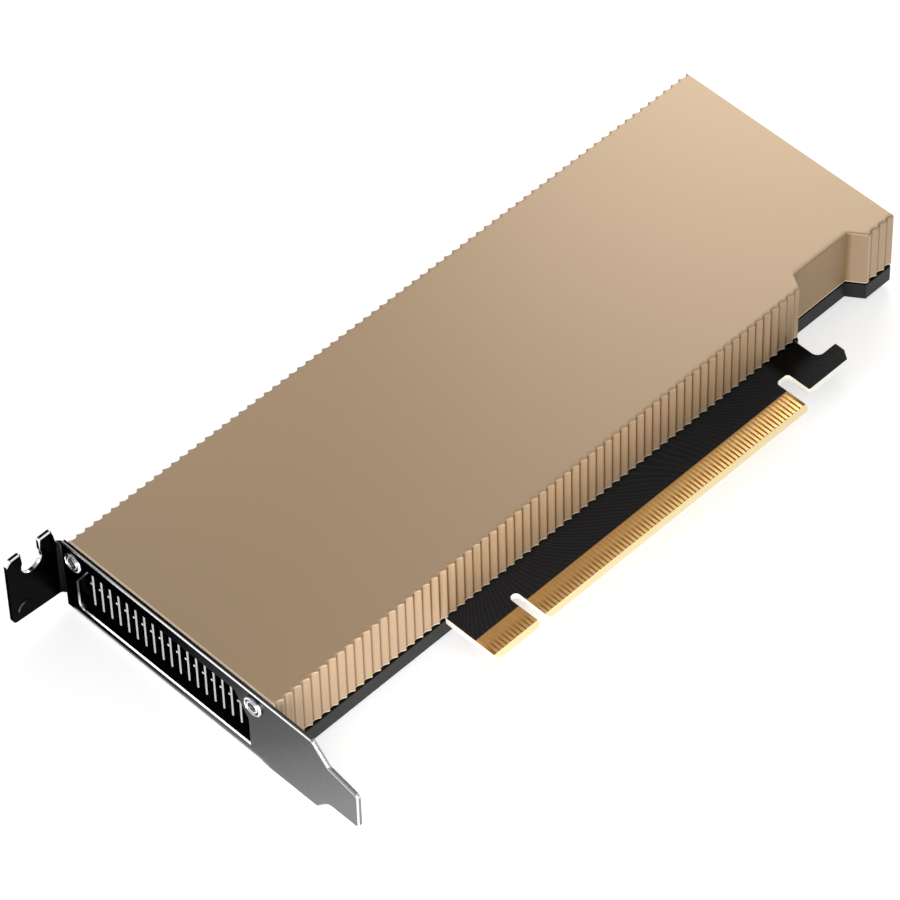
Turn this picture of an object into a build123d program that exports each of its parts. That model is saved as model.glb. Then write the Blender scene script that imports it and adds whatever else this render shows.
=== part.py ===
from build123d import *
import os

# Low-profile, single-slot passive accelerator card lying on its back. X runs from the slot
# bracket to the far end, +Y runs away from the card-edge connector, +Z is the cover side.
# The sketches use the card's own datum: x = 0 on the bracket's outer face, y = 0 on the
# connector-side edge of the body, z = 0 on the underside of the backplate. The planes
# below carry that datum into the model frame, whose origin is under the middle of the card.

os.makedirs("parts", exist_ok=True)

# Overall body
card_length = 167.65
body_width = 55.5
board_thickness = 1.57
back_height = 2.67
component_height = 14.47
board_clearance = 0.15
overshoot = 1.0

# Card-edge connector
edge_reach = 13.4
key_centre = 57.15
key_width = 1.9
key_depth = 8.8
short_section = 11.65
long_section = 71.65
edge_corner = 1.1
bevel_length = 1.2
bevel_depth = 0.42
contact_pitch = 1.0
contact_width = 0.7
contact_margin = 0.55
contact_length = 4.6
contact_thickness = 0.05
short_contacts = 11
long_contacts = 71

# Retention hook beside the connector
hook_slot_width = 3.15
hook_slot_end = 4.5
hook_slot_corner = 0.8
hook_reach = 10.25
hook_stem = 7.25
toe_length = 5.0
toe_depth = 4.45
toe_chamfer_x = 1.4
toe_chamfer_y = 2.1
hook_inner_radius = 1.6
hook_corner = 0.4

# Slot bracket
sheet = 0.86
bracket_span = 79.2
bracket_width = 18.65
seat_overhang = 1.85
bracket_drop = 0.35
lower_jog = 0.6
jog_start = 1.6
jog_length = 3.0
shoulder_rise = 4.4
shoulder_run = 4.05
shoulder_from_tip = 7.45
tongue_rise = 3.05
tongue_width = 9.45
lower_slope_run = 3.1
lower_slope_from_tip = 7.9
tongue_corner = 1.0
lower_slope_round = 2.4
lower_edge_round = 0.4

window_low_inset = 6.8
window_high_inset = 2.7
window_bottom = 2.1
window_height = 13.0
window_chamfer_y = 3.4
window_chamfer_z = 5.6
window_corner = 1.1

tab_reach = 12.5
tab_bottom = 3.15
tab_edge_rise = 0.9
ear_top = 21.75
tab_corner = 1.2
neck_top = 17.45
ear_foot = 0.7
ear_foot_height = 18.4
ear_inset = 1.15
ear_chamfer = 1.0
ear_corner = 0.5
notch_width = 4.42
notch_from_face = 6.6
notch_radius = 2.55
notch_height = 17.6
bend_radius = 1.0
pip_radius = 1.9
pip_height = 0.3
pip_edge = 0.25
pip_x = 9.2
pip_z = 6.3

# Bracket screws
bracket_screw_z = 15.25
bracket_screw_low_inset = 4.8
bracket_screw_high_inset = 2.35
bracket_screw_radius = 1.0
bracket_screw_length = 6.5
bracket_head_radius = 2.25
bracket_head_height = 0.7
bracket_head_edge = 0.25
driver_radius = 0.95
driver_depth = 0.45
screw_clearance = 0.15
thread_fit = 0.03

# Fluted cover
cover_gap = 0.4
cover_top = 0.9
cover_wall = 1.45
flute_pitch_wanted = 2.195
flute_depth = 0.5
cusp_flat = 0.22
flute_facets = 4
cover_corner = 0.3
recess_depth = 3.43
recess_near_inset = 0.45
recess_near_run = 1.95
recess_far_run = 2.45
recess_land = 0.6
recess_flutes = 9
flutes_past_recess = 3
boss_radius = 2.0
boss_length = 7.0

# Fin stack and base plate
fin_thickness = 0.5
fin_pitch = 2.33
fin_side_gap = 0.1
fin_front = 1.0
fin_end_recess = 2.5
fin_front_depth = 12.5
fin_front_gap = 0.31
fin_floor = 0.4
lock_tab_reach = 0.6
lock_tab_depth = 1.0
lock_tab_height = 0.45
lock_tab_z = 10.5
base_start = 15.0
base_end_gap = 2.0
base_corner = 1.0
base_thickness = 1.5
base_height = 2.66

# Backplate tray
plate_thickness = 1.0
rim_thickness = 0.9
plate_edge = 0.3
plate_corner = 0.3
tab_slot_gap = 0.3
sheet_insulator = 0.25
insulator_gap = 0.3

# Posts and the screws that clamp the board
post_spread = 21.0
post_low_inset = 9.0
post_high_inset = 6.5
post_radius = 2.2
boss_wall = 1.3
clamp_screw_radius = 1.25
clamp_head_radius = 2.3
clamp_driver_radius = 0.9
clamp_driver_depth = 0.6
clamp_engagement = 2.2

# Parts on the board
processor_past_middle = 0.175
processor_off_centre = 1.25
package_size = 34.0
package_height = 1.6
package_corner = 0.8
die_length = 19.0
die_width = 16.0
die_height = 0.9
memory_length = 12.0
memory_width = 14.0
memory_height = 1.1
memory_offset = 30.0
memory_border = 3.75
stage_from_end = 32.65
stage_length = 5.0
stage_width = 4.2
stage_height = 0.9
phase_count = 8
phase_pitch = 5.2
inductor_from_end = 22.65
inductor_length = 8.0
inductor_width = 4.4
inductor_height = 3.4
inductor_edge = 0.4
output_capacitor_from_end = 14.15
output_capacitor_length = 4.3
output_capacitor_width = 3.5
output_capacitor_height = 2.0
input_capacitor_from_end = 6.65
input_capacitor_length = 3.8
input_capacitor_width = 3.6
input_capacitor_height = 3.2
input_capacitor_edge = 0.5
controller_x = 28.0
controller_y = 36.0
controller_size = 7.0
controller_height = 0.9
firmware_x = 28.0
firmware_y = 22.0
firmware_length = 6.0
firmware_width = 5.0
firmware_height = 1.0
crystal_x = 36.0
crystal_y = 18.0
crystal_length = 3.2
crystal_width = 2.5
crystal_height = 0.8
coupling_length = 1.0
coupling_width = 0.5
coupling_height = 0.5
coupling_count = 16
coupling_pitch = 2.0
coupling_row = 4.0
decoupling_rows = 4
decoupling_pitch = 3.2
decoupling_length = 1.6
decoupling_width = 0.8
decoupling_height = 0.8

# Heights that follow from the sizes above
seat_y = body_width + seat_overhang
bracket_high_y = seat_y + sheet
bracket_low_y = seat_y - bracket_span
bracket_bottom = -bracket_drop
bracket_top = bracket_bottom + bracket_width
lowest = bracket_bottom - lower_jog
board_bottom = back_height
board_top = board_bottom + board_thickness
cover_bottom = board_top + cover_gap
cover_face = board_top + component_height
ceiling = cover_face - cover_top
base_bottom = board_top + base_height
base_top = base_bottom + base_thickness

# Places that follow from the card's length and width
processor_x = card_length / 2 + processor_past_middle
processor_y = body_width / 2 + processor_off_centre
post_columns = [processor_x - post_spread, processor_x + post_spread]
post_rows = [post_low_inset, body_width - post_high_inset]
memory_pitch = (body_width - 2 * memory_border) / 3
stage_x = card_length - stage_from_end
inductor_x = card_length - inductor_from_end
output_capacitor_x = card_length - output_capacitor_from_end
input_capacitor_x = card_length - input_capacitor_from_end
base_end = inductor_x - inductor_length / 2 - base_end_gap
screw_rows = [bracket_screw_low_inset, body_width - bracket_screw_high_inset]

# Model frame: its origin is under the middle of the card's bounding box
middle_x = (card_length - tab_reach) / 2
middle_y = (bracket_high_y + bracket_low_y) / 2


def level(z):
    """Horizontal plane at height z above the backplate's underside."""
    return Plane(origin=(-middle_x, -middle_y, z - lowest))


def across(x):
    """Plane square to the card's length, with its x along +Y and its y along +Z."""
    return Plane(origin=(x - middle_x, -middle_y, -lowest), x_dir=(0, 1, 0), z_dir=(1, 0, 0))


def facing(y):
    """Plane square to the card's width, seen from the connector side, normal -Y."""
    return Plane(origin=(-middle_x, y - middle_y, -lowest), x_dir=(1, 0, 0), z_dir=(0, -1, 0))


# Flutes and the recess they stop at
body_start = sheet
flute_count = round((card_length - body_start) / flute_pitch_wanted)
flute_pitch = (card_length - body_start) / flute_count
recess_last_flute = flute_count - flutes_past_recess
recess_first_flute = recess_last_flute - recess_flutes
recess_start = body_start + recess_first_flute * flute_pitch - recess_near_inset
recess_end = body_start + recess_last_flute * flute_pitch - recess_land
recess_corners = [
    (recess_start, 0),
    (recess_start + recess_near_run, recess_depth),
    (recess_end - recess_far_run, recess_depth),
    (recess_end, 0),
]

# Footprint of the body without its flutes, shared by cover, board and backplate
with BuildSketch() as footprint:
    with BuildLine():
        Polyline(
            (body_start, 0),
            *recess_corners,
            (card_length, 0),
            (card_length, body_width),
            (body_start, body_width),
            close=True,
        )
    make_face()

# The same with both long sides scalloped: shallow concave flutes between narrow lands, each
# drawn as a few short runs on a parabola. The near side breaks off for the recess.
outline = []
for edge_y, inward, start, run in (
    (0, flute_depth, body_start, flute_pitch),
    (body_width, -flute_depth, card_length, -flute_pitch),
):
    for flute in range(flute_count):
        if edge_y == 0 and recess_first_flute <= flute < recess_last_flute:
            continue
        if edge_y == 0 and flute == recess_last_flute:
            outline += recess_corners
        first = start + flute * run
        land = cusp_flat / 2 * (1 if run > 0 else -1)
        begin = first + (land if flute else 0)
        finish = first + run - (land if flute < flute_count - 1 else 0)
        if edge_y == 0 and flute == recess_first_flute - 1:
            finish = recess_start - land
        for number in range(flute_facets + 1):
            step = number / flute_facets
            sag = 4 * inward * step * (1 - step)
            outline.append((begin + step * (finish - begin), edge_y + sag))

with BuildSketch() as fluted_footprint:
    with BuildLine():
        Polyline(*outline, close=True)
    make_face()

# Outline of the connector tab, its key notch and the hook, in the board's plane
edge_left = key_centre - key_width / 2 - short_section
key_left = key_centre - key_width / 2
key_right = key_centre + key_width / 2
edge_right = key_right + long_section
stem_left = edge_right + hook_slot_width
stem_right = stem_left + hook_stem
toe_end = stem_right + toe_length
toe_top = -hook_reach + toe_depth
root_y = recess_depth + rim_thickness + board_clearance + overshoot

with BuildSketch() as board_outline:
    add(footprint.sketch)
    offset(amount=-(rim_thickness + board_clearance), kind=Kind.INTERSECTION, mode=Mode.REPLACE)
    with BuildSketch(mode=Mode.PRIVATE) as tongue:
        with BuildLine():
            Polyline(
                (edge_left, root_y),
                (edge_left, -edge_reach),
                (edge_right, -edge_reach),
                (edge_right, root_y),
                close=True,
            )
        make_face()
        with Locations(((key_left + key_right) / 2, -edge_reach)):
            Rectangle(key_width, 2 * (key_depth - key_width / 2), mode=Mode.SUBTRACT)
        outer = tongue.vertices().filter_by_position(Axis.Y, -edge_reach - 0.01, -edge_reach + 0.01)
        fillet(outer, edge_corner)
        with Locations((key_centre, -edge_reach + key_depth - key_width / 2)):
            Circle(key_width / 2, mode=Mode.SUBTRACT)
    add(tongue.sketch)
    with BuildSketch(mode=Mode.PRIVATE) as hook:
        with BuildLine():
            Polyline(
                (edge_right - overshoot, root_y),
                (edge_right - overshoot, -hook_slot_end),
                (stem_left, -hook_slot_end),
                (stem_left, -hook_reach),
                (toe_end - toe_chamfer_x, -hook_reach),
                (toe_end, -hook_reach + toe_chamfer_y),
                (toe_end, toe_top),
                (stem_right, toe_top),
                (stem_right, root_y),
                close=True,
            )
        make_face()
        inner = hook.vertices().filter_by_position(Axis.X, stem_right - 0.01, stem_right + 0.01)
        fillet(inner.sort_by(Axis.Y)[0], hook_inner_radius)
        heel = hook.vertices().filter_by_position(Axis.Y, -hook_reach - 0.01, -hook_reach + 0.01)
        fillet(heel, hook_corner)
    add(hook.sketch)
    slot = board_outline.vertices().filter_by_position(
        Axis.Y, -hook_slot_end - 0.01, -hook_slot_end + 0.01
    )
    fillet(slot, hook_slot_corner)

post_places = [(x, y) for x in post_columns for y in post_rows]

# Circuit board: one plate whose connector tab, key notch and hook are routed in its outline
with BuildPart() as circuit_board:
    with BuildSketch(level(board_bottom)):
        add(board_outline.sketch)
        with Locations(*post_places):
            Circle(clamp_screw_radius + screw_clearance, mode=Mode.SUBTRACT)
    extrude(amount=board_thickness)
    # Both faces of the connector tab are bevelled towards its outer edge
    with BuildSketch(across(edge_left - overshoot)):
        for face_z, step in ((board_top, -bevel_depth), (board_bottom, bevel_depth)):
            with BuildLine():
                Polyline(
                    (-edge_reach, face_z + step),
                    (-edge_reach - overshoot, face_z + step),
                    (-edge_reach - overshoot, face_z - step),
                    (-edge_reach + bevel_length, face_z - step),
                    (-edge_reach + bevel_length, face_z),
                    close=True,
                )
            make_face()
    extrude(amount=edge_right - edge_left + 2 * overshoot, mode=Mode.SUBTRACT)
circuit_board.part.label = "circuit_board"
export_step(circuit_board.part, "parts/circuit_board.step")

# Gold contacts, a thin plated strip each, ending where the bevel starts
contact_y = -edge_reach + bevel_length + contact_length / 2
contact_places = [
    (key_left - contact_margin - number * contact_pitch, contact_y)
    for number in range(short_contacts)
] + [
    (key_right + contact_margin + number * contact_pitch, contact_y)
    for number in range(long_contacts)
]

with BuildPart() as front_contacts:
    with BuildSketch(level(board_top)):
        with Locations(*contact_places):
            Rectangle(contact_width, contact_length)
    extrude(amount=contact_thickness)
front_contacts.part.label = "front_contacts"
export_step(front_contacts.part, "parts/front_contacts.step")

with BuildPart() as rear_contacts:
    with BuildSketch(level(board_bottom)):
        with Locations(*contact_places):
            Rectangle(contact_width, contact_length)
    extrude(amount=-contact_thickness)
rear_contacts.part.label = "rear_contacts"
export_step(rear_contacts.part, "parts/rear_contacts.step")

# Processor: a square package, the bare die on it and the paste up to the base plate
with BuildPart() as processor_package:
    with BuildSketch(level(board_top)):
        with Locations((processor_x, processor_y)):
            Rectangle(package_size, package_size)
    extrude(amount=package_height)
    chamfer(processor_package.edges().filter_by(Axis.Z), package_corner)
processor_package.part.label = "processor_package"
export_step(processor_package.part, "parts/processor_package.step")

die_top = board_top + package_height + die_height

with BuildPart() as processor_die:
    with BuildSketch(level(board_top + package_height)):
        with Locations((processor_x, processor_y)):
            Rectangle(die_length, die_width)
    extrude(amount=die_height)
processor_die.part.label = "processor_die"
export_step(processor_die.part, "parts/processor_die.step")

with BuildPart() as die_paste:
    with BuildSketch(level(die_top)):
        with Locations((processor_x, processor_y)):
            Rectangle(die_length, die_width)
    extrude(amount=base_bottom - die_top)
die_paste.part.label = "die_paste"
export_step(die_paste.part, "parts/die_paste.step")

# Memory in one column on each side of the processor, each chip under its own soft pad
memory_places = [
    (processor_x + side * memory_offset, processor_y + row * memory_pitch)
    for side in (-1, 1)
    for row in (-1, 0, 1)
]

with BuildPart() as memory_chips:
    with BuildSketch(level(board_top)):
        with Locations(*memory_places):
            Rectangle(memory_length, memory_width)
    extrude(amount=memory_height)
memory_chips.part.label = "memory_chips"
export_step(memory_chips.part, "parts/memory_chips.step")

with BuildPart() as memory_pads:
    with BuildSketch(level(board_top + memory_height)):
        with Locations(*memory_places):
            Rectangle(memory_length, memory_width)
    extrude(amount=base_height - memory_height)
memory_pads.part.label = "memory_pads"
export_step(memory_pads.part, "parts/memory_pads.step")

# Power stages in a row under one soft strip, then their inductors and capacitors
phase_rows = [
    processor_y + (number - (phase_count - 1) / 2) * phase_pitch for number in range(phase_count)
]

with BuildPart() as power_stages:
    with BuildSketch(level(board_top)):
        with Locations(*[(stage_x, y) for y in phase_rows]):
            Rectangle(stage_length, stage_width)
    extrude(amount=stage_height)
power_stages.part.label = "power_stages"
export_step(power_stages.part, "parts/power_stages.step")

with BuildPart() as power_stage_pad:
    with BuildSketch(level(board_top + stage_height)):
        with Locations((stage_x, processor_y)):
            Rectangle(stage_length, (phase_count - 1) * phase_pitch + stage_width)
    extrude(amount=base_height - stage_height)
power_stage_pad.part.label = "power_stage_pad"
export_step(power_stage_pad.part, "parts/power_stage_pad.step")

with BuildPart() as inductors:
    with BuildSketch(level(board_top)):
        with Locations(*[(inductor_x, y) for y in phase_rows]):
            Rectangle(inductor_length, inductor_width)
    extrude(amount=inductor_height)
    chamfer(inductors.faces().filter_by(Axis.Z).group_by(Axis.Z)[-1].edges(), inductor_edge)
inductors.part.label = "inductors"
export_step(inductors.part, "parts/inductors.step")

with BuildPart() as output_capacitors:
    with BuildSketch(level(board_top)):
        with Locations(*[(output_capacitor_x, y) for y in phase_rows]):
            Rectangle(output_capacitor_length, output_capacitor_width)
    extrude(amount=output_capacitor_height)
output_capacitors.part.label = "output_capacitors"
export_step(output_capacitors.part, "parts/output_capacitors.step")

with BuildPart() as input_capacitors:
    with BuildSketch(level(board_top)):
        with Locations(*[(input_capacitor_x, y) for y in phase_rows]):
            Rectangle(input_capacitor_length, input_capacitor_width)
    extrude(amount=input_capacitor_height)
    tops = input_capacitors.faces().filter_by(Axis.Z).group_by(Axis.Z)[-1]
    chamfer(tops.edges(), input_capacitor_edge)
input_capacitors.part.label = "input_capacitors"
export_step(input_capacitors.part, "parts/input_capacitors.step")

# Small parts between the bracket end and the memory
with BuildPart() as controller_chip:
    with BuildSketch(level(board_top)):
        with Locations((controller_x, controller_y)):
            Rectangle(controller_size, controller_size)
    extrude(amount=controller_height)
controller_chip.part.label = "controller_chip"
export_step(controller_chip.part, "parts/controller_chip.step")

with BuildPart() as firmware_chip:
    with BuildSketch(level(board_top)):
        with Locations((firmware_x, firmware_y)):
            Rectangle(firmware_length, firmware_width)
    extrude(amount=firmware_height)
firmware_chip.part.label = "firmware_chip"
export_step(firmware_chip.part, "parts/firmware_chip.step")

with BuildPart() as clock_crystal:
    with BuildSketch(level(board_top)):
        with Locations((crystal_x, crystal_y)):
            Rectangle(crystal_length, crystal_width)
    extrude(amount=crystal_height)
clock_crystal.part.label = "clock_crystal"
export_step(clock_crystal.part, "parts/clock_crystal.step")

# Coupling capacitors in a row along the connector, decoupling ones under the processor
with BuildPart() as coupling_capacitors:
    with BuildSketch(level(board_top)):
        with Locations((processor_x, coupling_row)):
            with GridLocations(coupling_pitch, 1, coupling_count, 1):
                Rectangle(coupling_width, coupling_length)
    extrude(amount=coupling_height)
coupling_capacitors.part.label = "coupling_capacitors"
export_step(coupling_capacitors.part, "parts/coupling_capacitors.step")

with BuildPart() as decoupling_capacitors:
    with BuildSketch(level(board_bottom)):
        with Locations((processor_x, processor_y)):
            with GridLocations(decoupling_pitch, decoupling_pitch, decoupling_rows, decoupling_rows):
                Rectangle(decoupling_length, decoupling_width)
    extrude(amount=-decoupling_height)
decoupling_capacitors.part.label = "decoupling_capacitors"
export_step(decoupling_capacitors.part, "parts/decoupling_capacitors.step")

# Six-sided threaded posts that hold the base plate at its height over the board
with BuildPart() as base_posts:
    with BuildSketch(level(board_top)):
        with Locations(*post_places):
            RegularPolygon(post_radius, 6)
            Circle(clamp_screw_radius + thread_fit, mode=Mode.SUBTRACT)
    extrude(amount=base_height)
base_posts.part.label = "base_posts"
export_step(base_posts.part, "parts/base_posts.step")

# Copper base plate that spreads the heat of processor, memory and power stages
fin_first = recess_depth + cover_wall + fin_side_gap + fin_thickness / 2
fin_space = body_width - cover_wall - fin_side_gap - fin_thickness / 2 - fin_first
fin_count = int(fin_space / fin_pitch) + 1
fin_rows = [fin_first + number * fin_pitch for number in range(fin_count)]
fins_low = fin_rows[0] - fin_thickness / 2
fins_high = fin_rows[-1] + fin_thickness / 2

with BuildPart() as base_plate:
    with BuildSketch(level(base_bottom)):
        with Locations((base_start, fins_low)):
            Rectangle(
                base_end - base_start, fins_high - fins_low, align=(Align.MIN, Align.MIN)
            )
    extrude(amount=base_thickness)
    chamfer(base_plate.edges().filter_by(Axis.Z), base_corner)
base_plate.part.label = "base_plate"
export_step(base_plate.part, "parts/base_plate.step")

# Fin stack: parallel sheets on a common floor. In front of the base plate, behind the
# bracket's window, the sheets run down almost to the board. The bosses that take the
# bracket screws pass through cut-outs in the outermost sheets.
fin_end = card_length - fin_end_recess

with BuildPart() as fin_stack:
    with BuildSketch(across(fin_front)):
        with Locations(*[(y, ceiling) for y in fin_rows]):
            Rectangle(
                fin_thickness,
                ceiling - board_top - fin_front_gap,
                align=(Align.CENTER, Align.MAX),
            )
    extrude(amount=fin_front_depth)
    with BuildSketch(across(fin_front + fin_front_depth)):
        with Locations(*[(y, base_top) for y in fin_rows]):
            Rectangle(fin_thickness, ceiling - base_top, align=(Align.CENTER, Align.MIN))
        with Locations((fins_low, base_top)):
            Rectangle(fins_high - fins_low, fin_floor, align=(Align.MIN, Align.MIN))
    extrude(amount=fin_end - fin_front - fin_front_depth)
    with BuildSketch(across(fin_front)):
        with Locations(*[(y + fin_thickness / 2, lock_tab_z) for y in fin_rows[:-1]]):
            Rectangle(lock_tab_reach, lock_tab_height, align=(Align.MIN, Align.CENTER))
    extrude(amount=lock_tab_depth)
    with BuildSketch(across(fin_front)):
        reach = boss_radius + fin_side_gap
        for row in screw_rows:
            with Locations((row, bracket_screw_z - reach)):
                Rectangle(2 * reach, ceiling, align=(Align.CENTER, Align.MIN))
            wall_side = -1 if row < body_width / 2 else 1
            with Locations((row + wall_side * reach, bracket_screw_z - reach)):
                Rectangle(2 * reach, ceiling, align=(Align.CENTER, Align.MIN))
    extrude(amount=body_start + boss_length + fin_side_gap - fin_front, mode=Mode.SUBTRACT)
fin_stack.part.label = "fin_stack"
export_step(fin_stack.part, "parts/fin_stack.step")

# Cover: an aluminium lid with fluted sides, open at both ends for the air, with a
# plain-faced recess in the connector side and two bosses for the bracket screws
with BuildPart() as heatsink_cover:
    with BuildSketch(level(cover_bottom)):
        add(fluted_footprint.sketch)
    extrude(amount=cover_face - cover_bottom)
    fillet(heatsink_cover.edges().filter_by(Axis.Z).group_by(Axis.X)[-1], cover_corner)
    with BuildSketch(level(cover_bottom)):
        add(footprint.sketch)
        offset(amount=-cover_wall, kind=Kind.INTERSECTION, mode=Mode.REPLACE)
        # The tunnel between the walls runs out through both ends
        for end_x in (body_start, card_length):
            with Locations((end_x, body_width / 2)):
                Rectangle(4 * cover_wall, body_width - 2 * cover_wall)
    extrude(amount=ceiling - cover_bottom, mode=Mode.SUBTRACT)
    with BuildSketch(across(body_start)):
        for row in screw_rows:
            wall_side = -1 if row < body_width / 2 else 1
            with Locations((row, bracket_screw_z)):
                Circle(boss_radius)
            with Locations((row, ceiling)):
                Rectangle(
                    2 * boss_radius,
                    ceiling - bracket_screw_z,
                    align=(Align.CENTER, Align.MAX),
                )
            with Locations((row + wall_side * boss_radius, ceiling)):
                Rectangle(
                    2 * boss_radius,
                    ceiling - bracket_screw_z + boss_radius,
                    align=(Align.CENTER, Align.MAX),
                )
        with Locations((body_width / 2, ceiling / 2)):
            Rectangle(body_width - cover_wall, 2 * ceiling, mode=Mode.INTERSECT)
    extrude(amount=boss_length)
    with BuildSketch(across(body_start)):
        with Locations(*[(row, bracket_screw_z) for row in screw_rows]):
            Circle(bracket_screw_radius + thread_fit)
    extrude(amount=boss_length, mode=Mode.SUBTRACT)
heatsink_cover.part.label = "heatsink_cover"
export_step(heatsink_cover.part, "parts/heatsink_cover.step")

# Backplate: a shallow tray whose rim hides the board's edge, cut down where the
# connector tab and the hook leave it, with a square countersunk boss under each post
boss_width = 2 * (clamp_head_radius + boss_wall)

with BuildPart() as backplate:
    with BuildSketch(level(0)):
        add(footprint.sketch)
    extrude(amount=board_top)
    fillet(backplate.edges().filter_by(Axis.Z).group_by(Axis.X)[-1], plate_corner)
    chamfer(backplate.faces().sort_by(Axis.Z)[0].edges(), plate_edge)
    with BuildSketch(level(plate_thickness)):
        add(footprint.sketch)
        offset(amount=-rim_thickness, kind=Kind.INTERSECTION, mode=Mode.REPLACE)
    extrude(amount=board_top - plate_thickness, mode=Mode.SUBTRACT)
    with BuildSketch(level(plate_thickness)):
        with Locations(*post_places):
            Rectangle(boss_width, boss_width)
    extrude(amount=board_bottom - plate_thickness)
    with BuildSketch(level(board_bottom - board_clearance)):
        with Locations(((edge_left + stem_right) / 2, 0)):
            Rectangle(
                stem_right - edge_left + 2 * tab_slot_gap,
                2 * (recess_depth + rim_thickness + board_clearance),
            )
    extrude(amount=board_top - board_bottom + board_clearance, mode=Mode.SUBTRACT)
    with Locations(*[Plane(level(0).from_local_coords((x, y, 0)), z_dir=(0, 0, -1))
                     for x, y in post_places]):
        CounterSinkHole(
            radius=clamp_screw_radius + screw_clearance,
            counter_sink_radius=clamp_head_radius + thread_fit,
            counter_sink_angle=90,
        )
backplate.part.label = "backplate"
export_step(backplate.part, "parts/backplate.step")

# Insulating film on the tray's floor, cut out around the bosses
with BuildPart() as backplate_insulator:
    with BuildSketch(level(plate_thickness)):
        add(footprint.sketch)
        offset(
            amount=-(rim_thickness + insulator_gap), kind=Kind.INTERSECTION, mode=Mode.REPLACE
        )
        with Locations(*post_places):
            Rectangle(
                boss_width + 2 * insulator_gap,
                boss_width + 2 * insulator_gap,
                mode=Mode.SUBTRACT,
            )
    extrude(amount=sheet_insulator)
backplate_insulator.part.label = "backplate_insulator"
export_step(backplate_insulator.part, "parts/backplate_insulator.step")

# Countersunk screws from the back through tray and board into the posts
with BuildPart() as clamp_screws:
    with BuildSketch(level(0)):
        with Locations(*post_places):
            Circle(clamp_head_radius)
    head = clamp_head_radius - clamp_screw_radius
    extrude(amount=head, taper=45)
    with BuildSketch(level(head)):
        with Locations(*post_places):
            Circle(clamp_screw_radius)
    extrude(amount=board_top + clamp_engagement - head)
    with BuildSketch(level(0)):
        with Locations(*post_places):
            RegularPolygon(clamp_driver_radius, 6)
    extrude(amount=clamp_driver_depth, mode=Mode.SUBTRACT)
clamp_screws.part.label = "clamp_screws"
export_step(clamp_screws.part, "parts/clamp_screws.step")

# Slot bracket, one folded sheet. First the screw tab and its bend, as the folded section
# run up to the ears and then trimmed to the outline with its two ears and screw notch.
tab_end = -tab_reach
bend_y = seat_y - bend_radius
tongue_bottom = bracket_bottom + tongue_rise
tongue_top = tongue_bottom + tongue_width
shoulder_y = bracket_low_y + shoulder_from_tip
slope_y = bracket_low_y + lower_slope_from_tip
window_left = window_low_inset
window_right = body_width - window_high_inset
window_top = window_bottom + window_height
plate_corners = [
    (bend_y, bracket_top, 0),
    (bend_y, bracket_bottom, 0),
    (jog_start + jog_length, bracket_bottom, tongue_corner),
    (jog_start, lowest, tongue_corner),
    (slope_y + lower_slope_run, lowest, tongue_corner),
    (slope_y, tongue_bottom, lower_slope_round),
    (bracket_low_y, tongue_bottom, tongue_corner),
    (bracket_low_y, tongue_top, tongue_corner),
    (shoulder_y, bracket_top - shoulder_rise, tongue_corner),
    (shoulder_y + shoulder_run, bracket_top, tongue_corner),
]

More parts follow.
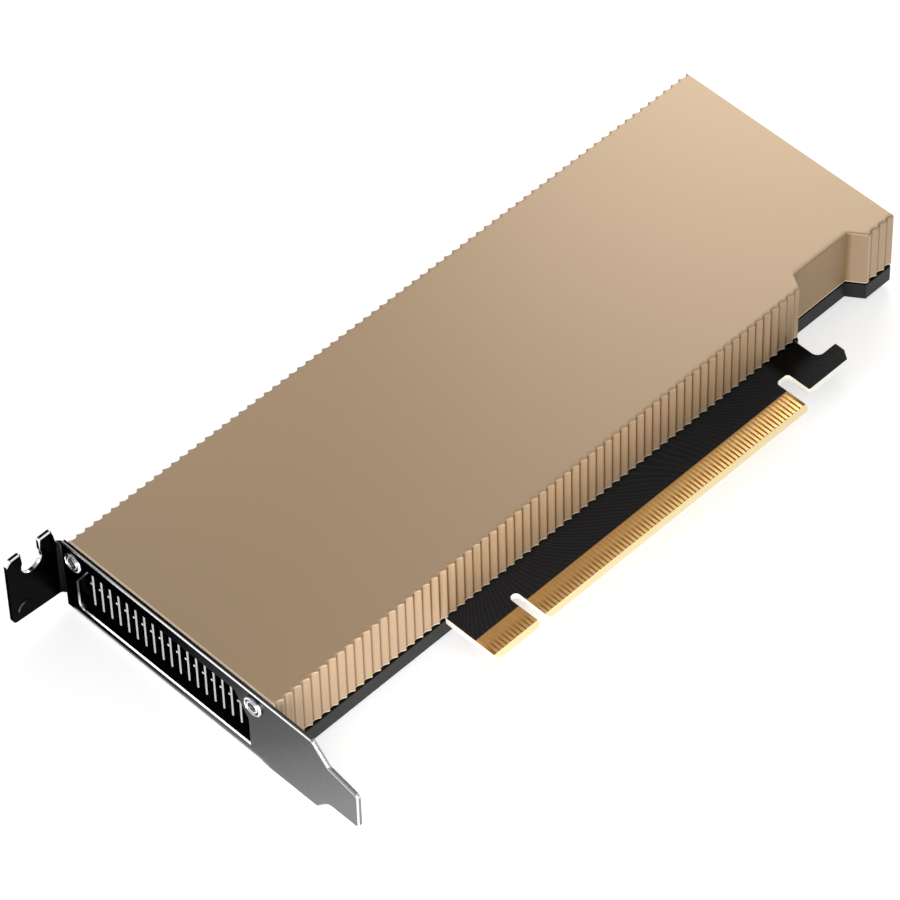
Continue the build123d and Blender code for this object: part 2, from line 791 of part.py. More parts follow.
with BuildPart() as io_bracket:
    with BuildSketch(level(tab_bottom)):
        with BuildLine():
            Line((sheet, bend_y), (0, bend_y))
            RadiusArc((0, bend_y), (-bend_radius, seat_y), -bend_radius)
            Polyline(
                (-bend_radius, seat_y),
                (tab_end, seat_y),
                (tab_end, bracket_high_y),
                (-bend_radius, bracket_high_y),
            )
            RadiusArc((-bend_radius, bracket_high_y), (sheet, bend_y), bend_radius + sheet)
        make_face()
    extrude(amount=ear_top - tab_bottom)
    with BuildSketch(facing(bracket_high_y)) as io_bracket_tab:
        with BuildLine():
            Polyline(
                (sheet, tab_bottom),
                (sheet, neck_top),
                (0, neck_top),
                (-ear_foot, ear_foot_height),
                (-ear_inset, ear_top),
                (tab_end + ear_chamfer, ear_top),
                (tab_end, ear_top - ear_chamfer),
                (tab_end, tab_bottom + tab_edge_rise),
                (-bend_radius, tab_bottom),
                close=True,
            )
        make_face()
        fillet(io_bracket_tab.vertices().group_by(Axis.X)[0].sort_by(Axis.Y)[0], tab_corner)
        with Locations((-notch_from_face, notch_height)):
            Circle(notch_radius, mode=Mode.SUBTRACT)
            Rectangle(
                notch_width, ear_top, align=(Align.CENTER, Align.MIN), mode=Mode.SUBTRACT
            )
    extrude(amount=bend_radius + sheet, mode=Mode.INTERSECT)
    ears = io_bracket.faces().sort_by(Axis.Z)[-2:].edges().filter_by(Axis.Y)
    fillet(ears, ear_corner)
    # Round pip pressed out of the tab near its outer corner
    with BuildSketch(facing(seat_y)):
        with Locations((-pip_x, pip_z)):
            Circle(pip_radius)
    extrude(amount=pip_height)
    chamfer(io_bracket.faces().sort_by(Axis.Y)[0].edges(), pip_edge)
    # Plate with its shoulder, tongue and the small step in the lower edge
    with BuildSketch(across(0)) as plate_outline:
        with BuildLine():
            Polyline(*[(y, z) for y, z, corner in plate_corners], close=True)
        make_face()
        for y, z, corner in plate_corners:
            if corner:
                fillet(plate_outline.vertices().sort_by_distance((y, z, 0))[:1], corner)
        # Window with both upper corners cut off
        with BuildSketch(mode=Mode.PRIVATE) as window:
            with BuildLine():
                Polyline(
                    (window_left, window_bottom),
                    (window_right, window_bottom),
                    (window_right, window_top - window_chamfer_z),
                    (window_right - window_chamfer_y, window_top),
                    (window_left + window_chamfer_y, window_top),
                    (window_left, window_top - window_chamfer_z),
                    close=True,
                )
            make_face()
            fillet(window.vertices().group_by(Axis.Y)[0].sort_by(Axis.X)[-1], window_corner)
        add(window.sketch, mode=Mode.SUBTRACT)
        with Locations(*[(row, bracket_screw_z) for row in screw_rows]):
            Circle(bracket_screw_radius + screw_clearance, mode=Mode.SUBTRACT)
    extrude(amount=sheet)
    # The lower edge is rounded on the outside from the bend to the step
    lower_edge = io_bracket.edges().filter_by(Axis.Y).group_by(Axis.Z)[1].sort_by(Axis.X)[0]
    fillet(lower_edge, lower_edge_round)
io_bracket.part.label = "io_bracket"
export_step(io_bracket.part, "parts/io_bracket.step")

# Bracket screws: low round heads on the plate, shanks in the cover's bosses
with BuildPart() as bracket_screws:
    with BuildSketch(across(0)):
        with Locations(*[(row, bracket_screw_z) for row in screw_rows]):
            Circle(bracket_head_radius)
    extrude(amount=-bracket_head_height)
    chamfer(bracket_screws.faces().group_by(Axis.X)[0].edges(), bracket_head_edge)
    with BuildSketch(across(-bracket_head_height)):
        with Locations(*[(row, bracket_screw_z) for row in screw_rows]):
            RegularPolygon(driver_radius, 6)
    extrude(amount=driver_depth, mode=Mode.SUBTRACT)
    with BuildSketch(across(0)):
        with Locations(*[(row, bracket_screw_z) for row in screw_rows]):
            Circle(bracket_screw_radius)
    extrude(amount=bracket_screw_length)
bracket_screws.part.label = "bracket_screws"
export_step(bracket_screws.part, "parts/bracket_screws.step")
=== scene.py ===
import math

import bmesh
import bpy
from mathutils import Matrix, Vector


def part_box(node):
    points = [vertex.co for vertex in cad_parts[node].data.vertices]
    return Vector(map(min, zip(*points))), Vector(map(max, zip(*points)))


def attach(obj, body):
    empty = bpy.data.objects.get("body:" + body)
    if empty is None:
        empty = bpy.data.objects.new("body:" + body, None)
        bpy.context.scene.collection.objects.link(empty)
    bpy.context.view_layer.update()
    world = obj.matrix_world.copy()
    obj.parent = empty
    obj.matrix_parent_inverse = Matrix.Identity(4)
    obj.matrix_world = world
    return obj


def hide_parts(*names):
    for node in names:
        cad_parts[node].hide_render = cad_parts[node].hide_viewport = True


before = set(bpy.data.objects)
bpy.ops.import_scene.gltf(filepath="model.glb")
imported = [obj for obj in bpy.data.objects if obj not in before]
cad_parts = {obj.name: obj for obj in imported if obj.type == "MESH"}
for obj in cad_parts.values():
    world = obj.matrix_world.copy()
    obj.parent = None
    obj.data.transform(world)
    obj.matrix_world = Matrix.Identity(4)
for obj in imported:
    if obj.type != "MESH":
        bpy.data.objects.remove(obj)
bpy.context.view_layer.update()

# Backplate: a shallow milled aluminium tray, black anodised, that carries the circuit board.
# Its rim is the dark band under the fluted cover. All sizes are millimetres from the card's own
# datum: bracket face, connector-side edge of the body, underside of this plate.
MM = 0.001
bracket_sheet = 0.86
plate_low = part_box("backplate")[0]
cover_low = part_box("heatsink_cover")[0]
datum = Vector((cover_low.x - bracket_sheet * MM, cover_low.y, plate_low.z))
scene = bpy.context.scene


def at(x, y, z):
    """The model point that lies x, y, z millimetres from the card's datum."""
    return datum + Vector((x, y, z)) * MM


def plane_at(axis, reach):
    """The model's coordinate along an axis, reach millimetres from the card's datum."""
    return at(reach, reach, reach)["XYZ".index(axis)]


def paint(red, green, blue):
    """A colour given in 0 to 255 on the sRGB curve, as the linear colour a shader takes."""
    levels = [value / 255 for value in (red, green, blue)]
    linear = [v / 12.92 if v <= 0.04045 else ((v + 0.055) / 1.055) ** 2.4 for v in levels]
    return (*linear, 1.0)


def wire(tree, kind, inputs, **settings):
    """Adds a node, sets it up, and gives its inputs values or other nodes' outputs."""
    node = tree.nodes.new(kind)
    for name, value in settings.items():
        setattr(node, name, value)
    for key, value in inputs.items():
        if isinstance(value, bpy.types.NodeSocket):
            tree.links.new(value, node.inputs[key])
        else:
            node.inputs[key].default_value = value
    return node


def sum_up(tree, operation, *values):
    """One Math node on up to three values."""
    return wire(tree, "ShaderNodeMath", dict(enumerate(values)), operation=operation).outputs[0]


def mixed(tree, share, first, second):
    """First colour turning into the second as the share goes from 0 to 1."""
    node = wire(tree, "ShaderNodeMix", {"Factor": share}, data_type="RGBA")
    for socket, value in ((node.inputs[6], first), (node.inputs[7], second)):
        if isinstance(value, bpy.types.NodeSocket):
            tree.links.new(value, socket)
        else:
            socket.default_value = value
    return node.outputs[2]


def ranged(tree, value, low, high, to_low, to_high):
    """The value spread from one range to another, held at both ends."""
    inputs = {"Value": value, 1: low, 2: high, 3: to_low, 4: to_high}
    return wire(tree, "ShaderNodeMapRange", inputs).outputs["Result"]


class Finish:
    """A surface finish: one grain stirs its colour, its roughness and its height. Its masks
    are shares from 0 to 1, and their places are millimetres from the card's datum."""

    grain_detail = 4.0
    grain_roughness = 0.62
    grain_strength = 0.5
    grain_span = (0.25, 0.75)
    cloud_size = 30
    cloud_detail = 2.0

    def __init__(self, name, colour, metallic, roughness, grain, stir=0.12, spread=0.08,
                 height=0.004, stretch=(1, 1, 1), cloud=1.0):
        self.material = bpy.data.materials.new(name)
        self.material.use_nodes = True
        self.tree = self.material.node_tree
        self.shader = self.tree.nodes["Principled BSDF"]
        self.set("Metallic", metallic)
        source = self.tree.nodes.new("ShaderNodeTexCoord")
        self.place = source.outputs["Object"]
        self.along = wire(self.tree, "ShaderNodeSeparateXYZ", {0: self.place}).outputs
        facing = {0: source.outputs["Normal"]}
        self.facing = wire(self.tree, "ShaderNodeSeparateXYZ", facing).outputs
        drawn = wire(self.tree, "ShaderNodeMapping", {"Vector": self.place, "Scale": stretch})
        self.fine = wire(self.tree, "ShaderNodeTexNoise", {
            "Vector": drawn.outputs["Vector"], "Scale": grain,
            "Detail": self.grain_detail, "Roughness": self.grain_roughness,
        }).outputs["Fac"]
        broad = wire(self.tree, "ShaderNodeTexNoise", {
            "Vector": self.place, "Scale": grain / self.cloud_size, "Detail": self.cloud_detail,
        }).outputs["Fac"]
        both = self.sum_up("MULTIPLY_ADD", self.sum_up("SUBTRACT", broad, 0.5), cloud, self.fine)
        dark = tuple(channel * (1 - stir) for channel in colour[:3]) + (1.0,)
        light = tuple(min(1.0, channel * (1 + stir)) for channel in colour[:3]) + (1.0,)
        self.colour = self.mixed(self.ranged(both, *self.grain_span), dark, light)
        self.repaint(self.colour)
        rough = self.ranged(both, *self.grain_span, roughness - spread, roughness + spread)
        self.tree.links.new(rough, self.shader.inputs["Roughness"])
        self.relief = wire(self.tree, "ShaderNodeBump", {
            "Strength": self.grain_strength, "Distance": height * MM, "Height": self.fine,
        }).outputs["Normal"]
        self.tree.links.new(self.relief, self.shader.inputs["Normal"])

    def set(self, socket, value):
        """Gives a socket of the shader a value that is the same all over the surface."""
        self.shader.inputs[socket].default_value = value

    def sum_up(self, operation, *values):
        """One Math node of this finish."""
        return sum_up(self.tree, operation, *values)

    def both(self, first, second):
        """The share where both shares hold."""
        return self.sum_up("MULTIPLY", first, second)

    def either(self, first, second):
        """The share where one share or the other holds."""
        return self.sum_up("MAXIMUM", first, second)

    def mixed(self, share, first, second):
        """The first colour turning into the second, in this finish."""
        return mixed(self.tree, share, first, second)

    def ranged(self, value, low, high, to_low=0.0, to_high=1.0):
        """A value of this finish spread from one range to another."""
        return ranged(self.tree, value, low, high, to_low, to_high)

    def between(self, axis, low, high, to_low=0.0, to_high=1.0):
        """A share that changes between two places along an axis."""
        start, end = plane_at(axis, low), plane_at(axis, high)
        return self.ranged(self.along[axis], start, end, to_low, to_high)

    def short_of(self, axis, limit):
        """1 where the surface lies before a place along an axis, and 0 past it."""
        return self.sum_up("LESS_THAN", self.along[axis], plane_at(axis, limit))

    def lean_to(self, axis):
        """How squarely the surface faces an axis either way, from 0 to 1."""
        return self.sum_up("ABSOLUTE", self.facing[axis])

    def repaint(self, colour):
        """Feeds another colour into the shader."""
        self.tree.links.new(colour, self.shader.inputs["Base Color"])

    def raise_by(self, share, height):
        """Puts a second relief, height millimetres high, over the grain."""
        over = wire(self.tree, "ShaderNodeBump", {
            "Strength": 1.0, "Distance": height * MM, "Height": share, "Normal": self.relief,
        })
        self.tree.links.new(over.outputs["Normal"], self.shader.inputs["Normal"])

    def onto(self, node):
        """Gives a CAD node this finish."""
        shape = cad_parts[node]
        shape.data.materials.clear()
        shape.data.materials.append(self.material)


def placed(name, mesh):
    """A new object for a mesh whose points are already where the piece is."""
    piece = bpy.data.objects.new(name, mesh)
    scene.collection.objects.link(piece)
    return piece


merge_distance = 1e-6
flat_angle = 0.01
sharp_angle = 0.6


def softened(node, finish, edge, wide_edges=None, wide=0.0):
    """The CAD node's shape with its sharp edges broken, standing in for the node. The edges
    that wide_edges picks are broken wider than the others, in one flat step."""
    shape = bmesh.new()
    shape.from_mesh(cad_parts[node].data)
    bmesh.ops.remove_doubles(shape, verts=shape.verts, dist=merge_distance)
    bmesh.ops.dissolve_limit(
        shape, angle_limit=flat_angle, verts=shape.verts, edges=shape.edges, delimit={"NORMAL"}
    )
    for reach, picked in ((wide, wide_edges), (edge, lambda edge: True)):
        if picked is None:
            continue
        is_wide = picked is wide_edges
        sharp = [e for e in shape.edges
                 if e.is_manifold and e.calc_face_angle(0) > sharp_angle and picked(e)]
        bmesh.ops.bevel(
            shape, geom=sharp, offset=reach * MM, segments=1 if is_wide else 2,
            profile=0.5, affect="EDGES", clamp_overlap=not is_wide,
        )
    bmesh.ops.triangulate(shape, faces=[f for f in shape.faces if len(f.verts) > 4])
    mesh = bpy.data.meshes.new(node + "_finished")
    shape.to_mesh(mesh)
    shape.free()
    mesh.materials.append(finish.material)
    piece = placed(node + "_finished", mesh)
    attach(piece, "root")
    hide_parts(node)
    return piece


def refinished(piece, finish, reach):
    """Gives the faces that lie nearer the bracket than reach another finish."""
    mesh = piece.data
    mesh.materials.append(finish.material)
    for face in mesh.polygons:
        if max(mesh.vertices[number].co.x for number in face.vertices) < at(reach, 0, 0).x:
            face.material_index = 1


plate_edge = 0.06
end_reach = 2.4
recess_shadow = (2.0, 3.2)
plate_black = Finish("black_anodised_plate", paint(35, 35, 34), metallic=0.0, roughness=0.45,
                     grain=5200, cloud=0.3)
plate_black.set("Specular IOR Level", 0.22)
# The tray's rim under the cover's recess is painted near black, a painted shade where the recess
# shadows it
plate_recess_shade = plate_black.between("Y", *recess_shadow)
plate_black.repaint(plate_black.mixed(plate_recess_shade, plate_black.colour, paint(8, 8, 8)))
# The faces of tray and board that lie within end_reach of the bracket are painted near black, a
# painted shade behind the bracket
painted_end_shade = Finish("painted_end_shade", paint(6, 6, 7), metallic=0.0, roughness=0.7, grain=2400,
                     height=0.002)
painted_end_shade.set("Specular IOR Level", 0.0)
tray = softened("backplate", plate_black, plate_edge)
refinished(tray, painted_end_shade, end_reach)

# Insulating film: a thin sheet of black polyester laid on the tray's floor so that nothing
# soldered under the board can touch the metal. It is stamped out around the bosses.
film_black = Finish("insulating_film", paint(30, 30, 31), metallic=0.0, roughness=0.34,
                    grain=900, stir=0.2, height=0.002)
film_black.onto("backplate_insulator")

# Circuit board: glass-fibre laminate under glossy black solder mask, routed in one outline with
# its connector tab, key notch and retention hook. The mask stops before the contacts, and the
# routed edges show the pale laminate.
mask_end = -7.35
tab_right = 130.3
board_edge = 0.05
hook_starts = (131, 133)
plated_run = (-11.0, -9.2)
most_plated = 0.9
bevel_lean = (0.85, 0.92)
face_lean = 0.985
under_body = 0.5
board_finish = Finish("solder_mask_and_laminate", paint(45, 47, 50), metallic=0.0,
                      roughness=0.24, grain=1500, stir=0.1, spread=0.03, height=0.001,
                      cloud=0.3)
board_finish.set("Specular IOR Level", 0.08)
board_up = board_finish.lean_to("Z")
bare = board_finish.both(board_finish.short_of("Y", mask_end),
                         board_finish.short_of("X", tab_right))

# Copper tracks stand up a little under the mask, fanning out from the contacts
track_pitch = 1.3
track_height = 0.006
track_noise = 26.0
noise_span = (0.3, 0.7)
track_slants = (-1.6, 1.2)
track_crest = (0.7, 0.95)
track_turn = wire(board_finish.tree, "ShaderNodeTexNoise", {
    "Vector": board_finish.place, "Scale": track_noise, "Detail": 0.0,
}).outputs["Fac"]
track_slant = board_finish.ranged(track_turn, *noise_span, *track_slants)
track_reach = board_finish.sum_up("SUBTRACT", board_finish.along["Y"], plane_at("Y", mask_end))
track_run = board_finish.sum_up("MULTIPLY_ADD", track_reach, track_slant, board_finish.along["X"])
track_phase = board_finish.sum_up("MULTIPLY", track_run, 2 * math.pi / (track_pitch * MM))
tracks = board_finish.ranged(board_finish.sum_up("SINE", track_phase), *track_crest)
mask_colour = board_finish.mixed(tracks, board_finish.colour, paint(57, 59, 64))
# The solder mask on the retention hook is painted darker, a painted shade
hook_shade_share = board_finish.between("X", *hook_starts)
mask_colour = board_finish.mixed(hook_shade_share, mask_colour, paint(14, 15, 17))
laminate = board_finish.mixed(board_finish.fine, paint(166, 114, 56), paint(180, 126, 66))
plated = board_finish.between("Y", *plated_run, 0.0, most_plated)
laminate = board_finish.mixed(plated, laminate, paint(246, 190, 116))
faces = board_finish.mixed(bare, mask_colour, laminate)
rims = board_finish.mixed(board_finish.fine, paint(250, 247, 238), paint(255, 254, 249))
is_bevel = board_finish.ranged(board_up, *bevel_lean)
rims = board_finish.mixed(is_bevel, rims, paint(255, 234, 184))
off_face = board_finish.sum_up("LESS_THAN", board_up, face_lean)
is_rim = board_finish.both(off_face, board_finish.short_of("Y", under_body))
board_finish.repaint(board_finish.mixed(is_rim, faces, rims))

# The laminate's cut edges are made to glow a little, a painted highlight that stands in for light
painted_rim_glow = board_finish.mixed(is_rim, (0, 0, 0, 1), rims)
board_finish.tree.links.new(painted_rim_glow, board_finish.shader.inputs["Emission Color"])
board_finish.set("Emission Strength", 0.34)
covered = board_finish.sum_up("SUBTRACT", 1.0, bare)
board_finish.raise_by(board_finish.both(tracks, covered), track_height)
board = softened("circuit_board", board_finish, board_edge)
# The board's end behind the bracket is painted near black too, a painted shade
refinished(board, painted_end_shade, end_reach)

# Contacts: 82 gold-plated copper fingers on each face of the connector tab, 1 mm apart, with
# a wider gap at the key notch. Each is a thin etched pad with rounded corners.
contact_count = 82
contacts_before_key = 11
contact_pitch = 1.0
key_gap = 2.0
contact_width = 0.7
contact_length = 4.6
contact_thickness = 0.05
contact_corner = 0.12
contact_slope = 0.03
first_contact = 45.65
contact_line = -9.9
board_faces = (4.24, 2.67)


def geometry_tree(name, sizes):
    """An empty Geometry Nodes tree whose inputs are the seed mesh and the named sizes."""
    tree = bpy.data.node_groups.new(name, "GeometryNodeTree")
    tree.interface.new_socket("Seed", in_out="INPUT", socket_type="NodeSocketGeometry")
    for label, kind in sizes.items():
        tree.interface.new_socket(label, in_out="INPUT", socket_type="NodeSocket" + kind)
    tree.interface.new_socket("Piece", in_out="OUTPUT", socket_type="NodeSocketGeometry")
    given = tree.nodes.new("NodeGroupInput").outputs
    return tree, given


def end_tree(tree, shape, material):
    """Closes a tree with Realize Instances and Set Material."""
    real = wire(tree, "GeometryNodeRealizeInstances", {"Geometry": shape}).outputs[0]
    dressed = {"Geometry": real, "Material": material}
    dressed = wire(tree, "GeometryNodeSetMaterial", dressed).outputs[0]
    tree.links.new(dressed, tree.nodes.new("NodeGroupOutput").inputs[0])


def grown(name, seed, tree, sizes):
    """Runs a tree on a seed mesh with these sizes and keeps the result as a plain mesh."""
    maker = placed(name + "_maker", seed)
    modifier = maker.modifiers.new("grow", "NODES")
    modifier.node_group = tree
    for item in tree.interface.items_tree:
        if item.in_out == "INPUT" and item.name in sizes:
            modifier[item.identifier] = sizes[item.name]
    graph = bpy.context.evaluated_depsgraph_get()
    mesh = bpy.data.meshes.new_from_object(maker.evaluated_get(graph), depsgraph=graph)
    bpy.data.objects.remove(maker)
    mesh.name = name
    return placed(name, mesh)


def dress(piece, slot, *nodes):
    """The piece rides on the card and stands for its nodes. The slot is not used."""
    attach(piece, "root")
    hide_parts(*nodes)


contact_tree, given = geometry_tree("contact_row", {
    "Count": "Int", "Before the key": "Int", "Pitch": "Float", "Key gap": "Float",
    "First": "Vector", "Material": "Material",
})
contact_step = wire(contact_tree, "ShaderNodeCombineXYZ", {"X": given["Pitch"]}).outputs[0]
contact_points = wire(contact_tree, "GeometryNodeMeshLine", {
    "Count": given["Count"], "Start Location": given["First"], "Offset": contact_step,
}).outputs[0]
contact_number = contact_tree.nodes.new("GeometryNodeInputIndex").outputs[0]
is_long_side = wire(contact_tree, "FunctionNodeCompare", {2: contact_number,
                    3: given["Before the key"]}, data_type="INT", operation="GREATER_EQUAL")
contact_shift = wire(contact_tree, "ShaderNodeCombineXYZ", {"X": given["Key gap"]}).outputs[0]
contact_points = wire(contact_tree, "GeometryNodeSetPosition", {
    "Geometry": contact_points, "Selection": is_long_side.outputs[0], "Offset": contact_shift,
}).outputs[0]
contacts = wire(contact_tree, "GeometryNodeInstanceOnPoints", {
    "Points": contact_points, "Instance": given["Seed"],
}).outputs[0]
end_tree(contact_tree, contacts, given["Material"])


def rounded_block(shape, x, y, low, high, corner, slope, steps=2):
    """Adds a block with rounded upright corners and a sloped upper rim to a mesh."""
    rings = []
    for level, shrink in ((low, 0.0), (high - slope, 0.0), (high, slope)):
        ring = []
        for number in range(4 * (steps + 1)):
            quarter, step = divmod(number, steps + 1)
            side_x = 1 if quarter in (0, 3) else -1
            side_y = 1 if quarter in (0, 1) else -1
            turn = math.radians(90 * quarter + 90 * step / steps)
            reach = corner - shrink
            point_x = side_x * (x / 2 - corner) + reach * math.cos(turn)
            point_y = side_y * (y / 2 - corner) + reach * math.sin(turn)
            ring.append(shape.verts.new(Vector((point_x, point_y, level)) * MM))
        rings.append(ring)
    for lower, upper in zip(rings, rings[1:]):
        for number in range(len(lower)):
            after = (number + 1) % len(lower)
            shape.faces.new((lower[number], lower[after], upper[after], upper[number]))
    shape.faces.new(rings[-1])
    shape.faces.new(list(reversed(rings[0])))


def seed_mesh(name, shape):
    """Turns a finished bmesh into a mesh and lets go of it."""
    mesh = bpy.data.meshes.new(name)
    shape.normal_update()
    shape.to_mesh(mesh)
    shape.free()
    return mesh


gold = Finish("gold_plated_contacts", paint(252, 206, 136), metallic=1.0, roughness=0.32,
              grain=2600, stir=0.04, spread=0.03, height=0.0004)

# Each finger is painted darker along its sides, in a wedge that narrows towards the bevel: a
# painted dark reflection
wedge_run = (-12.2, -10.4)
wedge_reach = (0.35, 0.17)
wedge_fade = 0.1
wedge_top = (-9.9, -9.0)
wedge_left_over = 0.1
from_finger = gold.sum_up("SUBTRACT", gold.along["X"],
                          plane_at("X", first_contact - contact_pitch / 2))
from_finger = gold.sum_up("FRACT", gold.sum_up("DIVIDE", from_finger, contact_pitch * MM))
from_finger = gold.sum_up("ABSOLUTE", gold.sum_up("SUBTRACT", from_finger, 0.5))
wedge = gold.between("Y", *wedge_run, *wedge_reach)
painted_wedge_reflection = gold.ranged(gold.sum_up("SUBTRACT", from_finger, wedge), 0.0, wedge_fade)
painted_wedge_reflection = gold.both(painted_wedge_reflection, gold.between("Y", *wedge_top, 1.0, wedge_left_over))
gold.repaint(gold.mixed(painted_wedge_reflection, gold.colour, paint(196, 146, 80)))
for node, face, outward in (("front_contacts", board_faces[0], 1),
                            ("rear_contacts", board_faces[1], -1)):
    contact_shape = bmesh.new()
    rounded_block(contact_shape, contact_width, contact_length, 0, contact_thickness,
                  contact_corner, contact_slope)
    if outward < 0:
        bmesh.ops.rotate(contact_shape, verts=contact_shape.verts,
                         matrix=Matrix.Rotation(math.pi, 3, "X"))
    row = grown(node + "_row", seed_mesh("contact", contact_shape), contact_tree, {
        "Count": contact_count, "Before the key": contacts_before_key,
        "Pitch": contact_pitch * MM, "Key gap": key_gap * MM,
        "First": at(first_contact, contact_line, face), "Material": gold.material,
    })
    dress(row, "gold_plate", node)

# Processor: a green organic package soldered to the board, the bare silicon die on it, and the
# grey paste that carries its heat up to the base plate.
package_green = Finish("package_substrate", paint(38, 84, 58), metallic=0.0, roughness=0.38,
                       grain=2600, stir=0.18)
package_green.onto("processor_package")
silicon = Finish("polished_silicon", paint(70, 74, 84), metallic=0.6, roughness=0.12,
                 grain=800, spread=0.02, height=0.001)
silicon.onto("processor_die")
paste = Finish("heat_paste", paint(150, 150, 152), metallic=0.0, roughness=0.55, grain=2200,
               stir=0.16, height=0.02)
paste.onto("die_paste")

# Memory and power stages: moulded black packages on both sides of the processor and in a row
# at the far end, each under a soft blue-grey heat pad that the base plate presses flat.
moulded = Finish("moulded_resin", paint(34, 34, 36), metallic=0.0, roughness=0.58, grain=4200,
                 stir=0.2, height=0.01)
for node in ("memory_chips", "power_stages", "controller_chip", "firmware_chip"):
    moulded.onto(node)
soft_pad = Finish("heat_pad", paint(122, 138, 150), metallic=0.0, roughness=0.75, grain=1800,
                  stir=0.1, height=0.02)
for node in ("memory_pads", "power_stage_pad"):
    soft_pad.onto(node)

# Inductors, capacitors and the clock can: the power filter at the far end and the small parts
# near the bracket, all soldered to the board.
ferrite = Finish("pressed_ferrite", paint(62, 62, 64), metallic=0.1, roughness=0.62,
                 grain=3000, stir=0.25, height=0.02)
ferrite.onto("inductors")
can_metal = Finish("satin_can", paint(178, 178, 176), metallic=1.0, roughness=0.32,
                   grain=3200, stir=0.06)
for node in ("input_capacitors", "clock_crystal"):
    can_metal.onto(node)
ceramic = Finish("fired_ceramic", paint(158, 122, 84), metallic=0.0, roughness=0.5,
                 grain=3600, stir=0.12, height=0.006)
for node in ("output_capacitors", "coupling_capacitors", "decoupling_capacitors"):
    ceramic.onto(node)

# Posts and base plate: four six-sided brass posts hold a copper plate at its height over the
# board. The plate is lapped flat, so its grain runs along the card.
brass = Finish("turned_brass", paint(196, 158, 92), metallic=1.0, roughness=0.3, grain=2800,
               stir=0.1)
brass.onto("base_posts")
copper = Finish("lapped_copper", paint(204, 126, 92), metallic=1.0, roughness=0.28, grain=3200,
                stir=0.1, stretch=(0.06, 1, 1))
copper.onto("base_plate")

# Fin stack: 21 aluminium sheets, half a millimetre thick, standing on a common floor that is
# soldered to the base plate. Behind the bracket's window they run down almost to the board.
fin_count = 21
fin_pitch = 2.33
fin_thickness = 0.5
fin_first_row = 5.23
fin_front, fin_step, fin_end = 1.0, 13.5, 165.15
fin_foot, fin_floor_low, fin_floor_high, fin_crest = 4.55, 8.4, 8.8, 17.81
fin_notch_x, fin_notch_z = 7.96, 13.15
fin_edge = 0.12
nub_z, nub_reach, nub_depth, nub_height = 10.5, 0.6, 1.0, 0.45

row_tree, given = geometry_tree("sheet_row", {
    "Count": "Int", "First": "Vector", "Step": "Vector", "Rows": "Int", "Row step": "Vector",
    "Material": "Material",
})
row_points = wire(row_tree, "GeometryNodeMeshLine", {
    "Count": given["Count"], "Start Location": given["First"], "Offset": given["Step"],
}).outputs[0]
cross_points = wire(row_tree, "GeometryNodeMeshLine", {
    "Count": given["Rows"], "Offset": given["Row step"],
}).outputs[0]
all_points = wire(row_tree, "GeometryNodeInstanceOnPoints", {
    "Points": row_points, "Instance": cross_points,
}).outputs[0]
all_points = wire(row_tree, "GeometryNodeRealizeInstances", {"Geometry": all_points}).outputs[0]
sheets = wire(row_tree, "GeometryNodeInstanceOnPoints", {
    "Points": all_points, "Instance": given["Seed"],
}).outputs[0]
end_tree(row_tree, sheets, given["Material"])


def prism(shape, outline, direction, edge):
    """Adds a flat outline drawn out along a direction, with its edges broken."""
    corners = [shape.verts.new(Vector(point) * MM) for point in outline]
    face = shape.faces.new(corners)
    grown_face = bmesh.ops.extrude_face_region(shape, geom=[face])["geom"]
    moved = [item for item in grown_face if isinstance(item, bmesh.types.BMVert)]
    bmesh.ops.translate(shape, verts=moved, vec=Vector(direction) * MM)
    block = set(corners) | set(moved)
    faces_of_block = [f for f in shape.faces if set(f.verts) <= block]
    bmesh.ops.recalc_face_normals(shape, faces=faces_of_block)
    if edge:
        around = [e for e in shape.edges if set(e.verts) <= block]
        bmesh.ops.bevel(shape, geom=around, offset=edge * MM, segments=1, profile=0.5,
                        affect="EDGES", clamp_overlap=True)


def fin_sheet(notched, nub):
    """One fin in its own place across the card, its front edge over the board."""
    half = fin_thickness / 2
    front = fin_front if nub else fin_notch_x
    outline = [(front, -half, fin_foot), (fin_step, -half, fin_foot),
               (fin_step, -half, fin_floor_low), (fin_end, -half, fin_floor_low),
               (fin_end, -half, fin_crest)]
    if notched and nub:
        outline += [(fin_notch_x, -half, fin_crest), (fin_notch_x, -half, fin_notch_z),
                    (front, -half, fin_notch_z)]
    else:
        outline.append((front, -half, fin_crest))
    shape = bmesh.new()
    prism(shape, outline, (0, fin_thickness, 0), fin_edge)
    if nub:
        low, high = nub_z - nub_height / 2, nub_z + nub_height / 2
        ends = [(fin_front, half, low), (fin_front + nub_depth, half, low),
                (fin_front + nub_depth, half, high), (fin_front, half, high)]
        prism(shape, ends, (0, nub_reach, 0), fin_edge)
    return seed_mesh("fin_sheet", shape)


fin_edge_lean = (0.1, 0.4)
bright_fin = Finish("rolled_aluminium", paint(206, 207, 208), metallic=1.0, roughness=0.3,
                    grain=2600, stir=0.06, stretch=(0.08, 1, 1))
